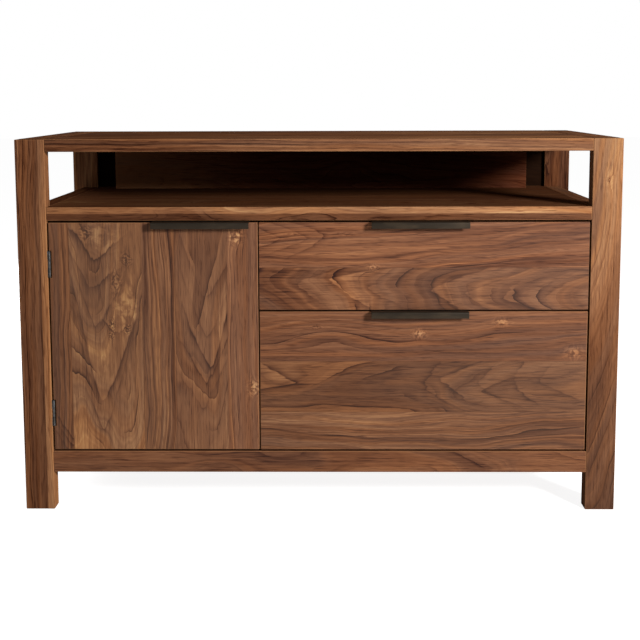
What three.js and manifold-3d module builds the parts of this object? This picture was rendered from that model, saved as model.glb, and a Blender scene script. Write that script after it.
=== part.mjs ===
// Walnut office credenza: an open shelf under the top, one hinged door and two drawers below it.
// Millimetres. +X is to the right of someone facing it, +Y to the rear, +Z up from the floor.

import * as THREE from 'three';
import { mergeVertices } from 'three/addons/utils/BufferGeometryUtils.js';
import Module from 'manifold-3d';

const wasm = await Module();
wasm.setup();

// Driving dimensions of the case
const WIDTH = 1220;
const CASE_DEPTH = 510;
const HEIGHT = 768;
const LEG_WIDTH = 60;
const LEG_DEPTH = 32;
const TOP_THICKNESS = 25;
const SHELF_TOP = 631.5;
const SHELF_THICKNESS = 27.5;
const SHELF_RAIL_WIDTH = 35;
const PANEL_THICKNESS = 20;
const RAIL_BOTTOM = 79.5;
const RAIL_TOP = 124;
const RAIL_THICKNESS = 22;
const BOTTOM_THICKNESS = 18;

// Rear of the case and the cable way behind the open shelf
const BACK_THICKNESS = 12;
const BACK_INSET = 8;
const CABLE_COVER_WIDTH = 994;
const CABLE_COVER_THICKNESS = 18;
const CABLE_COVER_FROM_FRONT = 436;
const CABLE_OUTLET_WIDTH = 120;
const CABLE_OUTLET_HEIGHT = 40;

// Joinery: tenons and tongues, and the room left around them
const TENON_LENGTH = 20;
const TONGUE_LENGTH = 10;
const TONGUE_THICKNESS = 8;
const JOINT_PLAY = 0.25;
const JOINT_END_PLAY = 0.5;
const TOP_TENON = { width: 30, height: 12 };
const SHELF_TENON = { width: 20, height: 18 };
const BOTTOM_TENON = { depth: 10, height: 30 };

// Door and drawer fronts
const FRONT_THICKNESS = 20;
const GAP_ABOVE = 4;
const GAP_BELOW = 4;
const GAP_AT_LEGS = 3.5;
const GAP_AT_MEETING = 2.5;
const GAP_BETWEEN_DRAWERS = 3.5;
const MEETING_X = -121.5;
const DRAWER_SPLIT_Z = 419;

// Bent-plate edge pulls
const PULL_REACH = 18;
const PULL_WIDTH = 197;
const PULL_PLATE = 2;
const PULL_LIP_HEIGHT = 13.25;
const PULL_BACK_HEIGHT = 20;
const PULL_BEND = 3;
const DOOR_PULL_X = -238.25;
const DRAWER_PULL_X = 205.5;

// Butt hinges of the door
const HINGE_HEIGHT = 54;
const HINGE_CENTRES_Z = { upper: 515, lower: 205 };
const KNUCKLE_RADIUS = 3;
const KNUCKLE_GAP = 0.375;
const PIN_RADIUS = 1.25;
const PIN_PLAY = 0.05;
const LEAF_THICKNESS = 1.5;
const LEAF_WIDTH = 18;
const HINGE_FROM_LEG = 4.5;
const DOOR_NOTCH_ROOM = 0.75;

// Magnetic catch on the partition and its strike on the door
const CATCH_SIZE = { x: 14.5, y: 20, z: 45 };
const CATCH_BOTTOM_Z = 500;
const STRIKE_THICKNESS = 1.5;
const STRIKE_EDGE = 1.5;

// Adjustable shelf and its pins
const LOOSE_SHELF_THICKNESS = 18;
const LOOSE_SHELF_SIDE_PLAY = 2;
const LOOSE_SHELF_INSET = 12;
const SHELF_PIN = { radius: 2.5, flangeRadius: 4.5, flange: 1.5, nose: 8, root: 10 };
const PIN_HOLE_PLAY = 0.25;
const PIN_HOLE_END_PLAY = 0.5;
const PIN_HOLE_COUNT = 7;
const PIN_HOLE_PITCH = 32;
const PIN_HOLE_MIDDLE_Z = 352;
const PIN_HOLE_FROM_FRONT = { front: 76, rear: 436 };

// Drawer boxes and slides
const BOX_LENGTH = 440;
const BOX_SIDE = 12;
const BOX_BOTTOM = 9;
const BOX_BOTTOM_RISE = 8;
const BOX_ABOVE_FRONT_FOOT = 12;
const BOX_BELOW_FRONT_TOP = 20;
const GROOVE_DEPTH = 6;
const SLIDE_SPACE = 13;
const SLIDE_LENGTH = 436;
const SLIDE_SETBACK = 22;
const SLIDE_SHEET = 1.25;
const SLIDE_MEMBERS = {
  outer: { web: 0, lip: 9, halfHeight: 22.5 },
  middle: { web: 3, lip: 11, halfHeight: 18.5 },
  inner: { web: SLIDE_SPACE, lip: 6, halfHeight: 14.25 },
};
const FILE_RAIL = { thickness: 3, height: 14, fromFront: 22, spacing: 305 };

const ROUND_STEPS = 8;
const BEND_STEPS = 4;
const MERGE_TOLERANCE = 1e-4;

// Places worked out from the driving dimensions
const FRONT = PULL_REACH - (CASE_DEPTH + PULL_REACH) / 2;
const REAR = FRONT + CASE_DEPTH;
const OUTER_X = WIDTH / 2;
const INNER_X = OUTER_X - LEG_WIDTH;
const FRONT_LEG_BACK = FRONT + LEG_DEPTH;
const REAR_LEG_FRONT = REAR - LEG_DEPTH;
const TOP_BOTTOM = HEIGHT - TOP_THICKNESS;
const SHELF_BOTTOM = SHELF_TOP - SHELF_THICKNESS;
const FRONTS_BOTTOM = RAIL_TOP + GAP_BELOW;
const FRONTS_TOP = SHELF_BOTTOM - GAP_ABOVE;
const RAIL_BACK = FRONT + RAIL_THICKNESS;
const BACK_REAR = REAR - BACK_INSET;
const BACK_FRONT = BACK_REAR - BACK_THICKNESS;
const PARTITION = [MEETING_X - PANEL_THICKNESS / 2, MEETING_X + PANEL_THICKNESS / 2];
const HINGE_X = HINGE_FROM_LEG - INNER_X;
const DOOR_LEFT = GAP_AT_LEGS - INNER_X;
const DOOR_RIGHT = MEETING_X - GAP_AT_MEETING / 2;
const DRAWER_FRONT = [MEETING_X + GAP_AT_MEETING / 2, INNER_X - GAP_AT_LEGS];
const DRAWER_BAY = [PARTITION[1], INNER_X];
const SIDES = { left: -1, right: 1 };

const materials = {
  walnut: new THREE.MeshStandardMaterial({ color: 0x7a5236, roughness: 0.5, metalness: 0 }),
  plywood: new THREE.MeshStandardMaterial({ color: 0xc9a878, roughness: 0.6, metalness: 0 }),
  bronze: new THREE.MeshStandardMaterial({ color: 0x37342d, roughness: 0.45, metalness: 0.8 }),
  nickel: new THREE.MeshStandardMaterial({ color: 0xc4c2bd, roughness: 0.3, metalness: 1 }),
  zinc: new THREE.MeshStandardMaterial({ color: 0xaeb2b5, roughness: 0.4, metalness: 1 }),
  plastic: new THREE.MeshStandardMaterial({ color: 0x3a3532, roughness: 0.6, metalness: 0 }),
};

// Solids and meshes

function toSolid(geometry) {
  const bare = geometry.clone();
  bare.deleteAttribute('normal');
  bare.deleteAttribute('uv');
  const merged = mergeVertices(bare, MERGE_TOLERANCE);
  return new wasm.Manifold(new wasm.Mesh({
    numProp: 3,
    vertProperties: new Float32Array(merged.attributes.position.array),
    triVerts: new Uint32Array(merged.index.array),
  }));
}

function toGeometry(solid) {
  const { vertProperties, triVerts } = solid.getMesh();
  const geometry = new THREE.BufferGeometry();
  geometry.setAttribute('position', new THREE.BufferAttribute(vertProperties, 3));
  geometry.setIndex(new THREE.BufferAttribute(triVerts, 1));
  geometry.computeVertexNormals();
  return geometry;
}

function addPiece(group, name, material, solid) {
  const mesh = new THREE.Mesh(toGeometry(solid), material);
  mesh.name = name;
  group.add(mesh);
}

// A board that fills the given spans, each [low, high]
function board(spanX, spanY, spanZ) {
  const sizes = [spanX, spanY, spanZ].map(([low, high]) => high - low);
  const middles = [spanX, spanY, spanZ].map(([low, high]) => (low + high) / 2);
  return toSolid(new THREE.BoxGeometry(...sizes).translate(...middles));
}

function joined(...solids) {
  return solids.reduce((whole, solid) => whole.add(solid));
}

function cutBy(solid, cutters) {
  return cutters.reduce((rest, cutter) => rest.subtract(cutter), solid);
}

// The span from a to b out from the middle plane, on the left (-1) or right (+1) side
function outward(side, a, b) {
  return side < 0 ? [-b, -a] : [a, b];
}

function centred(middle, length) {
  return [middle - length / 2, middle + length / 2];
}

function widened(span, play) {
  return [span[0] - play, span[1] + play];
}

// An outline in the YZ plane, drawn out along X over the given span
function drawnAlongX(shape, spanX) {
  const settings = { depth: spanX[1] - spanX[0], bevelEnabled: false, curveSegments: BEND_STEPS };
  const axes = new THREE.Matrix4().makeBasis(
    new THREE.Vector3(0, 1, 0), new THREE.Vector3(0, 0, 1), new THREE.Vector3(1, 0, 0));
  return toSolid(new THREE.ExtrudeGeometry(shape, settings).applyMatrix4(axes).translate(spanX[0], 0, 0));
}

// An outline in the XZ plane, drawn out along Y over the given span
function drawnAlongY(shape, spanY) {
  const settings = { depth: spanY[1] - spanY[0], bevelEnabled: false };
  const axes = new THREE.Matrix4().makeBasis(
    new THREE.Vector3(1, 0, 0), new THREE.Vector3(0, 0, 1), new THREE.Vector3(0, -1, 0));
  return toSolid(new THREE.ExtrudeGeometry(shape, settings).applyMatrix4(axes).translate(0, spanY[1], 0));
}

// An upright round bar on the Z axis, over the given span
function roundBar(radius, spanZ) {
  const shape = new THREE.Shape().absarc(0, 0, radius, 0, 2 * Math.PI);
  const settings = { depth: spanZ[1] - spanZ[0], bevelEnabled: false, curveSegments: ROUND_STEPS };
  return toSolid(new THREE.ExtrudeGeometry(shape, settings).translate(0, 0, spanZ[0]));
}

// Legs, rails and side panels

function topTenon(side, spanY, play) {
  const middleX = OUTER_X - LEG_WIDTH / 2;
  const spanX = centred(side * middleX, TOP_TENON.width);
  const spanZ = centred(HEIGHT - TOP_THICKNESS / 2, TOP_TENON.height);
  return board(widened(spanX, play), spanY, widened(spanZ, play));
}

function shelfTenon(side, spanY, play) {
  const spanX = centred(side * (INNER_X + SHELF_RAIL_WIDTH / 2), SHELF_TENON.width);
  const spanZ = centred(SHELF_TOP - SHELF_THICKNESS / 2, SHELF_TENON.height);
  return board(widened(spanX, play), spanY, widened(spanZ, play));
}

function sideTongue(side, spanY, play) {
  const spanX = centred(side * (INNER_X + PANEL_THICKNESS / 2), TONGUE_THICKNESS);
  return board(widened(spanX, play), spanY, [RAIL_BOTTOM, SHELF_BOTTOM]);
}

function bottomTenon(side, middleY, length, play) {
  const spanX = outward(side, INNER_X, INNER_X + length);
  const spanY = centred(middleY, BOTTOM_TENON.depth);
  const spanZ = centred((RAIL_BOTTOM + RAIL_TOP) / 2, BOTTOM_TENON.height);
  return board(spanX, widened(spanY, play), widened(spanZ, play));
}

function addFrontLeg(group, name, side) {
  const pocketEnd = FRONT_LEG_BACK - TENON_LENGTH - JOINT_END_PLAY;
  const grooveEnd = FRONT_LEG_BACK - TONGUE_LENGTH - JOINT_END_PLAY;
  const leg = board(outward(side, INNER_X, OUTER_X), [FRONT, FRONT_LEG_BACK], [0, HEIGHT]);
  addPiece(group, name, materials.walnut, cutBy(leg, [
    topTenon(side, [pocketEnd, FRONT_LEG_BACK], JOINT_PLAY),
    shelfTenon(side, [pocketEnd, FRONT_LEG_BACK], JOINT_PLAY),
    sideTongue(side, [grooveEnd, FRONT_LEG_BACK], JOINT_PLAY),
    bottomTenon(side, (FRONT + RAIL_BACK) / 2, TENON_LENGTH + JOINT_END_PLAY, JOINT_PLAY),
  ]));
}

function addRearLeg(group, name, side) {
  const pocketEnd = REAR_LEG_FRONT + TENON_LENGTH + JOINT_END_PLAY;
  const grooveEnd = REAR_LEG_FRONT + TONGUE_LENGTH + JOINT_END_PLAY;
  const backGrooveX = outward(side, INNER_X, INNER_X + TONGUE_LENGTH / 2 + JOINT_END_PLAY);
  const backGrooveY = widened([BACK_FRONT, BACK_REAR], JOINT_PLAY);
  const leg = board(outward(side, INNER_X, OUTER_X), [REAR_LEG_FRONT, REAR], [0, HEIGHT]);
  addPiece(group, name, materials.walnut, cutBy(leg, [
    topTenon(side, [REAR_LEG_FRONT, pocketEnd], JOINT_PLAY),
    shelfTenon(side, [REAR_LEG_FRONT, pocketEnd], JOINT_PLAY),
    sideTongue(side, [REAR_LEG_FRONT, grooveEnd], JOINT_PLAY),
    bottomTenon(side, REAR - RAIL_THICKNESS / 2, TENON_LENGTH + JOINT_END_PLAY, JOINT_PLAY),
    board(backGrooveX, backGrooveY, [RAIL_TOP, SHELF_BOTTOM]),
    board(backGrooveX, backGrooveY, [SHELF_TOP, TOP_BOTTOM]),
  ]));
}

function addSideRails(group, sideName, side) {
  const between = [FRONT_LEG_BACK, REAR_LEG_FRONT];
  const withTenons = widened(between, TENON_LENGTH);
  addPiece(group, `${sideName}_top_rail`, materials.walnut, joined(
    board(outward(side, INNER_X, OUTER_X), between, [TOP_BOTTOM, HEIGHT]),
    topTenon(side, withTenons, 0)));
  addPiece(group, `${sideName}_shelf_rail`, materials.walnut, joined(
    board(outward(side, INNER_X, INNER_X + SHELF_RAIL_WIDTH), between, [SHELF_BOTTOM, SHELF_TOP]),
    shelfTenon(side, withTenons, 0)));
}

// Shelf pin holes in the wall whose face is at faceX, drilled towards direction (-1 or +1)
function pinHoles(faceX, direction) {
  const depth = SHELF_PIN.root + PIN_HOLE_END_PLAY;
  const holes = [];
  for (const fromFront of Object.values(PIN_HOLE_FROM_FRONT)) {
    for (let index = 0; index < PIN_HOLE_COUNT; index += 1) {
      const steps = index - (PIN_HOLE_COUNT - 1) / 2;
      const hole = new THREE.CylinderGeometry(
        SHELF_PIN.radius + PIN_HOLE_PLAY, SHELF_PIN.radius + PIN_HOLE_PLAY, depth, 2 * ROUND_STEPS);
      hole.rotateZ(Math.PI / 2);
      hole.translate(
        faceX + direction * depth / 2, FRONT + fromFront, PIN_HOLE_MIDDLE_Z + steps * PIN_HOLE_PITCH);
      holes.push(toSolid(hole));
    }
  }
  return holes;
}

function addSidePanel(group, sideName, side) {
  const between = [FRONT_LEG_BACK, REAR_LEG_FRONT];
  const panel = joined(
    board(outward(side, INNER_X, INNER_X + PANEL_THICKNESS), between, [RAIL_BOTTOM, SHELF_BOTTOM]),
    sideTongue(side, widened(between, TONGUE_LENGTH), 0));
  const holes = side < 0 ? pinHoles(-INNER_X, -1) : [];
  addPiece(group, `${sideName}_side_panel`, materials.walnut, cutBy(panel, holes));
}

function addBottomRail(group, name, spanY) {
  const middleY = (spanY[0] + spanY[1]) / 2;
  addPiece(group, name, materials.walnut, joined(
    board([-INNER_X, INNER_X], spanY, [RAIL_BOTTOM, RAIL_TOP]),
    bottomTenon(SIDES.left, middleY, TENON_LENGTH, 0),
    bottomTenon(SIDES.right, middleY, TENON_LENGTH, 0)));
}

// Boards between the legs

function addBoards(group) {
  const between = [-INNER_X, INNER_X];
  const inGrooves = widened(between, TONGUE_LENGTH / 2);
  const backY = [BACK_FRONT, BACK_REAR];
  const coverY = [FRONT + CABLE_COVER_FROM_FRONT, FRONT + CABLE_COVER_FROM_FRONT + CABLE_COVER_THICKNESS];
  const partition = board(PARTITION, [RAIL_BACK, BACK_FRONT], [RAIL_TOP, SHELF_BOTTOM]);
  const outlet = board(
    centred(0, CABLE_OUTLET_WIDTH), [FRONT, REAR], [SHELF_TOP, SHELF_TOP + CABLE_OUTLET_HEIGHT]);
  addPiece(group, 'top_panel', materials.walnut, board(between, [FRONT, REAR], [TOP_BOTTOM, HEIGHT]));
  addPiece(group, 'open_shelf', materials.walnut, board(between, [FRONT, REAR], [SHELF_BOTTOM, SHELF_TOP]));
  addPiece(group, 'bottom_panel', materials.walnut,
    board(between, [RAIL_BACK, REAR - RAIL_THICKNESS], [RAIL_TOP - BOTTOM_THICKNESS, RAIL_TOP]));
  addPiece(group, 'centre_partition', materials.walnut, cutBy(partition, pinHoles(PARTITION[0], 1)));
  addPiece(group, 'cable_cover_panel', materials.walnut,
    board(centred(0, CABLE_COVER_WIDTH), coverY, [SHELF_TOP, TOP_BOTTOM]));
  addPiece(group, 'upper_back_panel', materials.walnut,
    board(inGrooves, backY, [SHELF_TOP, TOP_BOTTOM]).subtract(outlet));
  addPiece(group, 'lower_back_panel', materials.walnut, board(inGrooves, backY, [RAIL_TOP, SHELF_BOTTOM]));
}

// Adjustable shelf and the pins that it rests on

function shelfPin(faceX, direction, fromFront) {
  const { radius, flangeRadius, flange, nose, root } = SHELF_PIN;
  const outline = [
    [0, -root], [radius, -root], [radius, 0], [flangeRadius, 0],
    [flangeRadius, flange], [radius, flange], [radius, nose], [0, nose],
  ];
  const turned = new THREE.LatheGeometry(outline.map(([r, y]) => new THREE.Vector2(r, y)), 2 * ROUND_STEPS);
  turned.rotateZ(-direction * Math.PI / 2);
  return toSolid(turned.translate(faceX, FRONT + fromFront, PIN_HOLE_MIDDLE_Z));
}

function addLooseShelf(group) {
  const spanX = widened([-INNER_X, PARTITION[0]], -LOOSE_SHELF_SIDE_PLAY);
  const spanY = [RAIL_BACK + LOOSE_SHELF_INSET, BACK_FRONT - LOOSE_SHELF_INSET];
  const bottom = PIN_HOLE_MIDDLE_Z + SHELF_PIN.radius;
  addPiece(group, 'adjustable_shelf', materials.walnut,
    board(spanX, spanY, [bottom, bottom + LOOSE_SHELF_THICKNESS]));
  for (const [place, fromFront] of Object.entries(PIN_HOLE_FROM_FRONT)) {
    addPiece(group, `${place}_left_shelf_pin`, materials.nickel, shelfPin(-INNER_X, 1, fromFront));
    addPiece(group, `${place}_right_shelf_pin`, materials.nickel, shelfPin(PARTITION[0], -1, fromFront));
  }
}

// Butt hinges, drawn about the pin at X = 0, Y = 0, with the middle knuckle on the door

const BORE_RADIUS = PIN_RADIUS + PIN_PLAY;
const KNUCKLE_LENGTH = (HINGE_HEIGHT - 2 * KNUCKLE_GAP) / 3;
const MIDDLE_KNUCKLE = centred(0, KNUCKLE_LENGTH);
const END_KNUCKLES = [
  [-HINGE_HEIGHT / 2, MIDDLE_KNUCKLE[0] - KNUCKLE_GAP],
  [MIDDLE_KNUCKLE[1] + KNUCKLE_GAP, HINGE_HEIGHT / 2],
];
const HINGE_SPAN = [-HINGE_HEIGHT / 2, HINGE_HEIGHT / 2];

function knuckleRoom(spanZ) {
  return roundBar(KNUCKLE_RADIUS + KNUCKLE_GAP, widened(spanZ, KNUCKLE_GAP));
}

function legLeaf() {
  const farX = -HINGE_FROM_LEG;
  const plate = board([farX, farX + LEAF_THICKNESS], [0, LEAF_WIDTH], HINGE_SPAN);
  const necks = END_KNUCKLES.map(
    (span) => board([farX, -(KNUCKLE_RADIUS + PIN_RADIUS) / 2], [0, LEAF_THICKNESS], span));
  const knuckles = END_KNUCKLES.map((span) => roundBar(KNUCKLE_RADIUS, span));
  const whole = joined(plate.subtract(knuckleRoom(MIDDLE_KNUCKLE)), ...necks, ...knuckles);
  return whole.subtract(roundBar(BORE_RADIUS, widened(HINGE_SPAN, 1)));
}

function doorLeaf() {
  const nearX = DOOR_LEFT - HINGE_X;
  const plate = board([nearX - LEAF_THICKNESS, nearX], [0, LEAF_WIDTH], HINGE_SPAN);
  const rooms = END_KNUCKLES.map((span) => knuckleRoom(span));
  const whole = cutBy(plate, rooms).add(roundBar(KNUCKLE_RADIUS, MIDDLE_KNUCKLE));
  return whole.subtract(roundBar(BORE_RADIUS, widened(HINGE_SPAN, 1)));
}

function addFixedHinges(group) {
  for (const [place, centreZ] of Object.entries(HINGE_CENTRES_Z)) {
    const fixed = new THREE.Group();
    fixed.position.set(HINGE_X, FRONT, centreZ);
    addPiece(fixed, `${place}_hinge_leg_leaf`, materials.nickel, legLeaf());
    addPiece(fixed, `${place}_hinge_pin`, materials.nickel, roundBar(PIN_RADIUS, HINGE_SPAN));
    group.add(fixed);
  }
}

// Bent-plate pull about the top front arris of its panel: a back flange, a web and a lip

function pull(middleX, topZ) {
  const top = PULL_PLATE;
  const lipFoot = top - PULL_LIP_HEIGHT;
  const lipBack = PULL_PLATE - PULL_REACH;
  const flangeBack = FRONT_THICKNESS + PULL_PLATE;
  const innerBend = PULL_BEND - PULL_PLATE;
  const shape = new THREE.Shape();
  shape.moveTo(-PULL_REACH, lipFoot);
  shape.lineTo(lipBack, lipFoot);
  shape.lineTo(lipBack, -innerBend);
  shape.absarc(lipBack + innerBend, -innerBend, innerBend, Math.PI, Math.PI / 2, true);
  shape.lineTo(FRONT_THICKNESS, 0);
  shape.lineTo(FRONT_THICKNESS, -PULL_BACK_HEIGHT);
  shape.lineTo(flangeBack, -PULL_BACK_HEIGHT);
  shape.lineTo(flangeBack, top - PULL_BEND);
  shape.absarc(flangeBack - PULL_BEND, top - PULL_BEND, PULL_BEND, 0, Math.PI / 2, false);
  shape.lineTo(PULL_BEND - PULL_REACH, top);
  shape.absarc(PULL_BEND - PULL_REACH, top - PULL_BEND, PULL_BEND, Math.PI / 2, Math.PI, false);
  shape.closePath();
  return drawnAlongX(shape, centred(middleX, PULL_WIDTH)).translate([0, 0, topZ]);
}

// Door, drawn about its hinge axis

function makeDoor() {
  const door = new THREE.Group();
  door.position.set(HINGE_X, FRONT, 0);
  const spanX = [DOOR_LEFT - HINGE_X, DOOR_RIGHT - HINGE_X];
  const panel = board(spanX, [0, FRONT_THICKNESS], [FRONTS_BOTTOM, FRONTS_TOP]);
  const notches = Object.values(HINGE_CENTRES_Z).map((centreZ) => roundBar(
    KNUCKLE_RADIUS + DOOR_NOTCH_ROOM, centred(centreZ, HINGE_HEIGHT + 2 * DOOR_NOTCH_ROOM)));
  addPiece(door, 'door_panel', materials.walnut, cutBy(panel, notches));
  addPiece(door, 'door_pull', materials.bronze, pull(DOOR_PULL_X - HINGE_X, FRONTS_TOP));
  for (const [place, centreZ] of Object.entries(HINGE_CENTRES_Z)) {
    addPiece(door, `${place}_hinge_door_leaf`, materials.nickel, doorLeaf().translate([0, 0, centreZ]));
  }
  const strikeRight = PARTITION[0] - HINGE_X - STRIKE_EDGE;
  const strikeX = [strikeRight - CATCH_SIZE.x + 2 * STRIKE_EDGE, strikeRight];
  const strikeZ = widened([CATCH_BOTTOM_Z, CATCH_BOTTOM_Z + CATCH_SIZE.z], -STRIKE_EDGE);
  addPiece(door, 'door_strike', materials.zinc,
    board(strikeX, [FRONT_THICKNESS, FRONT_THICKNESS + STRIKE_THICKNESS], strikeZ));
  return door;
}

function addDoorCatch(group) {
  addPiece(group, 'door_catch', materials.plastic, board(
    [PARTITION[0] - CATCH_SIZE.x, PARTITION[0]],
    [RAIL_BACK, RAIL_BACK + CATCH_SIZE.y],
    [CATCH_BOTTOM_Z, CATCH_BOTTOM_Z + CATCH_SIZE.z]));
}

// Drawers, drawn about the middle of their bay, the front plane and the foot of their front

const BAY_MIDDLE = (DRAWER_BAY[0] + DRAWER_BAY[1]) / 2;
const BOX_HALF = (DRAWER_BAY[1] - DRAWER_BAY[0]) / 2 - SLIDE_SPACE;
const BOX_INNER = BOX_HALF - BOX_SIDE;
const BOX_BACK = FRONT_THICKNESS + BOX_LENGTH;
const DRAWERS = {
  upper: { spanZ: [DRAWER_SPLIT_Z + GAP_BETWEEN_DRAWERS / 2, FRONTS_TOP], forFiles: false },
  lower: { spanZ: [FRONTS_BOTTOM, DRAWER_SPLIT_Z - GAP_BETWEEN_DRAWERS / 2], forFiles: true },
};

function drawerHeight({ spanZ }) {
  return spanZ[1] - spanZ[0];
}

// One sheet-steel channel of a slide; its web is near the wall or near the drawer side
function slideMember(side, member) {
  const { web, lip, halfHeight } = SLIDE_MEMBERS[member];
  const inward = Math.sign(lip - web);
  const wall = BOX_HALF + SLIDE_SPACE;
  const outline = [
    [web, -halfHeight], [lip, -halfHeight],
    [lip, SLIDE_SHEET - halfHeight], [web + inward * SLIDE_SHEET, SLIDE_SHEET - halfHeight],
    [web + inward * SLIDE_SHEET, halfHeight - SLIDE_SHEET], [lip, halfHeight - SLIDE_SHEET],
    [lip, halfHeight], [web, halfHeight],
  ];
  const points = outline.map(([fromWall, z]) => new THREE.Vector2(side * (wall - fromWall), z));
  return drawnAlongY(new THREE.Shape(points), [SLIDE_SETBACK, SLIDE_SETBACK + SLIDE_LENGTH]);
}

function addSlideMembers(group, place, drawer, member) {
  const middleZ = drawerHeight(drawer) / 2;
  for (const [sideName, side] of Object.entries(SIDES)) {
    addPiece(group, `${place}_${sideName}_slide_${member}`, materials.zinc,
      slideMember(side, member).translate([0, 0, middleZ]));
  }
}

function fileRailSpans(drawer) {
  const top = drawerHeight(drawer) - BOX_BELOW_FRONT_TOP;
  const first = FRONT_THICKNESS + FILE_RAIL.fromFront;
  return ['front', 'rear'].map((place, index) => ({
    place,
    spanY: centred(first + index * FILE_RAIL.spacing, FILE_RAIL.thickness),
    spanZ: [top - FILE_RAIL.height, top],
  }));
}

function addDrawerSides(group, place, drawer) {
  const boxZ = [BOX_ABOVE_FRONT_FOOT, drawerHeight(drawer) - BOX_BELOW_FRONT_TOP];
  const bottomZ = boxZ[0] + BOX_BOTTOM_RISE;
  const boxY = [FRONT_THICKNESS, BOX_BACK];
  for (const [sideName, side] of Object.entries(SIDES)) {
    const housing = outward(side, BOX_INNER, BOX_INNER + GROOVE_DEPTH);
    const cutters = [board(housing, boxY, widened([bottomZ, bottomZ + BOX_BOTTOM], JOINT_PLAY))];
    if (drawer.forFiles) {
      for (const { spanY, spanZ } of fileRailSpans(drawer)) {
        cutters.push(board(housing, widened(spanY, JOINT_PLAY), widened(spanZ, JOINT_PLAY)));
      }
    }
    const blank = board(outward(side, BOX_INNER, BOX_HALF), boxY, boxZ);
    addPiece(group, `${place}_drawer_${sideName}_side`, materials.plywood, cutBy(blank, cutters));
  }
}

function makeDrawer(place, drawer) {
  const group = new THREE.Group();
  group.position.set(BAY_MIDDLE, FRONT, drawer.spanZ[0]);
  const height = drawerHeight(drawer);
  const bottomZ = BOX_ABOVE_FRONT_FOOT + BOX_BOTTOM_RISE;
  const housed = BOX_INNER + GROOVE_DEPTH - JOINT_PLAY;
  addPiece(group, `${place}_drawer_front`, materials.walnut, board(
    DRAWER_FRONT.map((x) => x - BAY_MIDDLE), [0, FRONT_THICKNESS], [0, height]));
  addPiece(group, `${place}_drawer_pull`, materials.bronze, pull(DRAWER_PULL_X - BAY_MIDDLE, height));
  addDrawerSides(group, place, drawer);
  addPiece(group, `${place}_drawer_bottom`, materials.plywood, board(
    [-housed, housed], [FRONT_THICKNESS, BOX_BACK], [bottomZ, bottomZ + BOX_BOTTOM]));
  addPiece(group, `${place}_drawer_back`, materials.plywood, board(
    [-BOX_INNER, BOX_INNER], [BOX_BACK - BOX_SIDE, BOX_BACK],
    [bottomZ + BOX_BOTTOM, height - BOX_BELOW_FRONT_TOP]));
  addSlideMembers(group, place, drawer, 'inner');
  if (drawer.forFiles) {
    for (const rail of fileRailSpans(drawer)) {
      addPiece(group, `${place}_drawer_${rail.place}_file_rail`, materials.zinc,
        board([-housed, housed], rail.spanY, rail.spanZ));
    }
  }
  return group;
}

function makeSlideParts(place, drawer, member) {
  const group = new THREE.Group();
  group.position.set(BAY_MIDDLE, FRONT, drawer.spanZ[0]);
  addSlideMembers(group, place, drawer, member);
  return group;
}

// The whole credenza

function makeCase() {
  const group = new THREE.Group();
  for (const [sideName, side] of Object.entries(SIDES)) {
    addFrontLeg(group, `front_${sideName}_leg`, side);
    addRearLeg(group, `rear_${sideName}_leg`, side);
    addSideRails(group, sideName, side);
    addSidePanel(group, sideName, side);
  }
  addBottomRail(group, 'front_bottom_rail', [FRONT, RAIL_BACK]);
  addBottomRail(group, 'rear_bottom_rail', [REAR - RAIL_THICKNESS, REAR]);
  addBoards(group);
  addLooseShelf(group);
  addFixedHinges(group);
  addDoorCatch(group);
  return group;
}

function makeCredenza() {
  const credenza = new THREE.Group();
  credenza.add(makeCase(), makeDoor());
  for (const [place, drawer] of Object.entries(DRAWERS)) {
    credenza.add(
      makeDrawer(place, drawer),
      makeSlideParts(place, drawer, 'middle'),
      makeSlideParts(place, drawer, 'outer'));
  }
  return credenza;
}

export default makeCredenza();
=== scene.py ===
"""Walnut office credenza, dressed around its solids: an open shelf, one door and two drawers.

Metres. +X is to the right of someone facing the credenza, +Y to the rear, +Z up from the floor.
"""

import math
from collections import namedtuple

import bmesh
import bpy
import numpy as np
from bpy.props import FloatProperty, FloatVectorProperty, PointerProperty
from bpy.types import Operator, Panel, PropertyGroup
from mathutils import Euler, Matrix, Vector


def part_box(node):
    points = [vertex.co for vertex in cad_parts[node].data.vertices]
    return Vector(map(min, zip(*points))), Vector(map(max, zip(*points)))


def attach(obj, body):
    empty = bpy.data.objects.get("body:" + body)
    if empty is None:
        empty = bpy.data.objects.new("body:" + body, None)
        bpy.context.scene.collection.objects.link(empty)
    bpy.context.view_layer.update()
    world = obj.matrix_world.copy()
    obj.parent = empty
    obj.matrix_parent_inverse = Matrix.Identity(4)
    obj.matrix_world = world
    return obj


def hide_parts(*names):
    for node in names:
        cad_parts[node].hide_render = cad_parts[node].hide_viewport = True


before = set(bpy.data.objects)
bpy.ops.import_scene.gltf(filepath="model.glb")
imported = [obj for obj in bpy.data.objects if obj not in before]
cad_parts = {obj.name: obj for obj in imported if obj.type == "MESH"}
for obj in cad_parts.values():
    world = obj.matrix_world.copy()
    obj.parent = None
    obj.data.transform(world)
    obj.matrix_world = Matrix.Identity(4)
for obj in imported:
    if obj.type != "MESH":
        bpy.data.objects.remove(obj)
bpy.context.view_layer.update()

bl_info = {
    "name": "Walnut credenza",
    "version": (1, 0, 0),
    "blender": (4, 5, 0),
    "location": "View3D > Sidebar > Credenza",
    "description": "Dresses a walnut office credenza with grain, hardware, light and camera",
    "category": "Object",
}

WHITE = (1.0, 1.0, 1.0)
LEFT = (-1.0, 0.0, 0.0)
RIGHT = (1.0, 0.0, 0.0)
REAR = (0.0, 1.0, 0.0)
UP = (0.0, 0.0, 1.0)
AXIS = {"x": 0, "y": 1, "z": 2}


def shade(red, green, blue):
    """Linear colour of a screen colour given in 0 to 255."""
    screen = np.array((red, green, blue)) / 255.0
    low, high = screen / 12.92, ((screen + 0.055) / 1.055) ** 2.4
    return tuple(float(part) for part in np.where(screen <= 0.04045, low, high))


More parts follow.
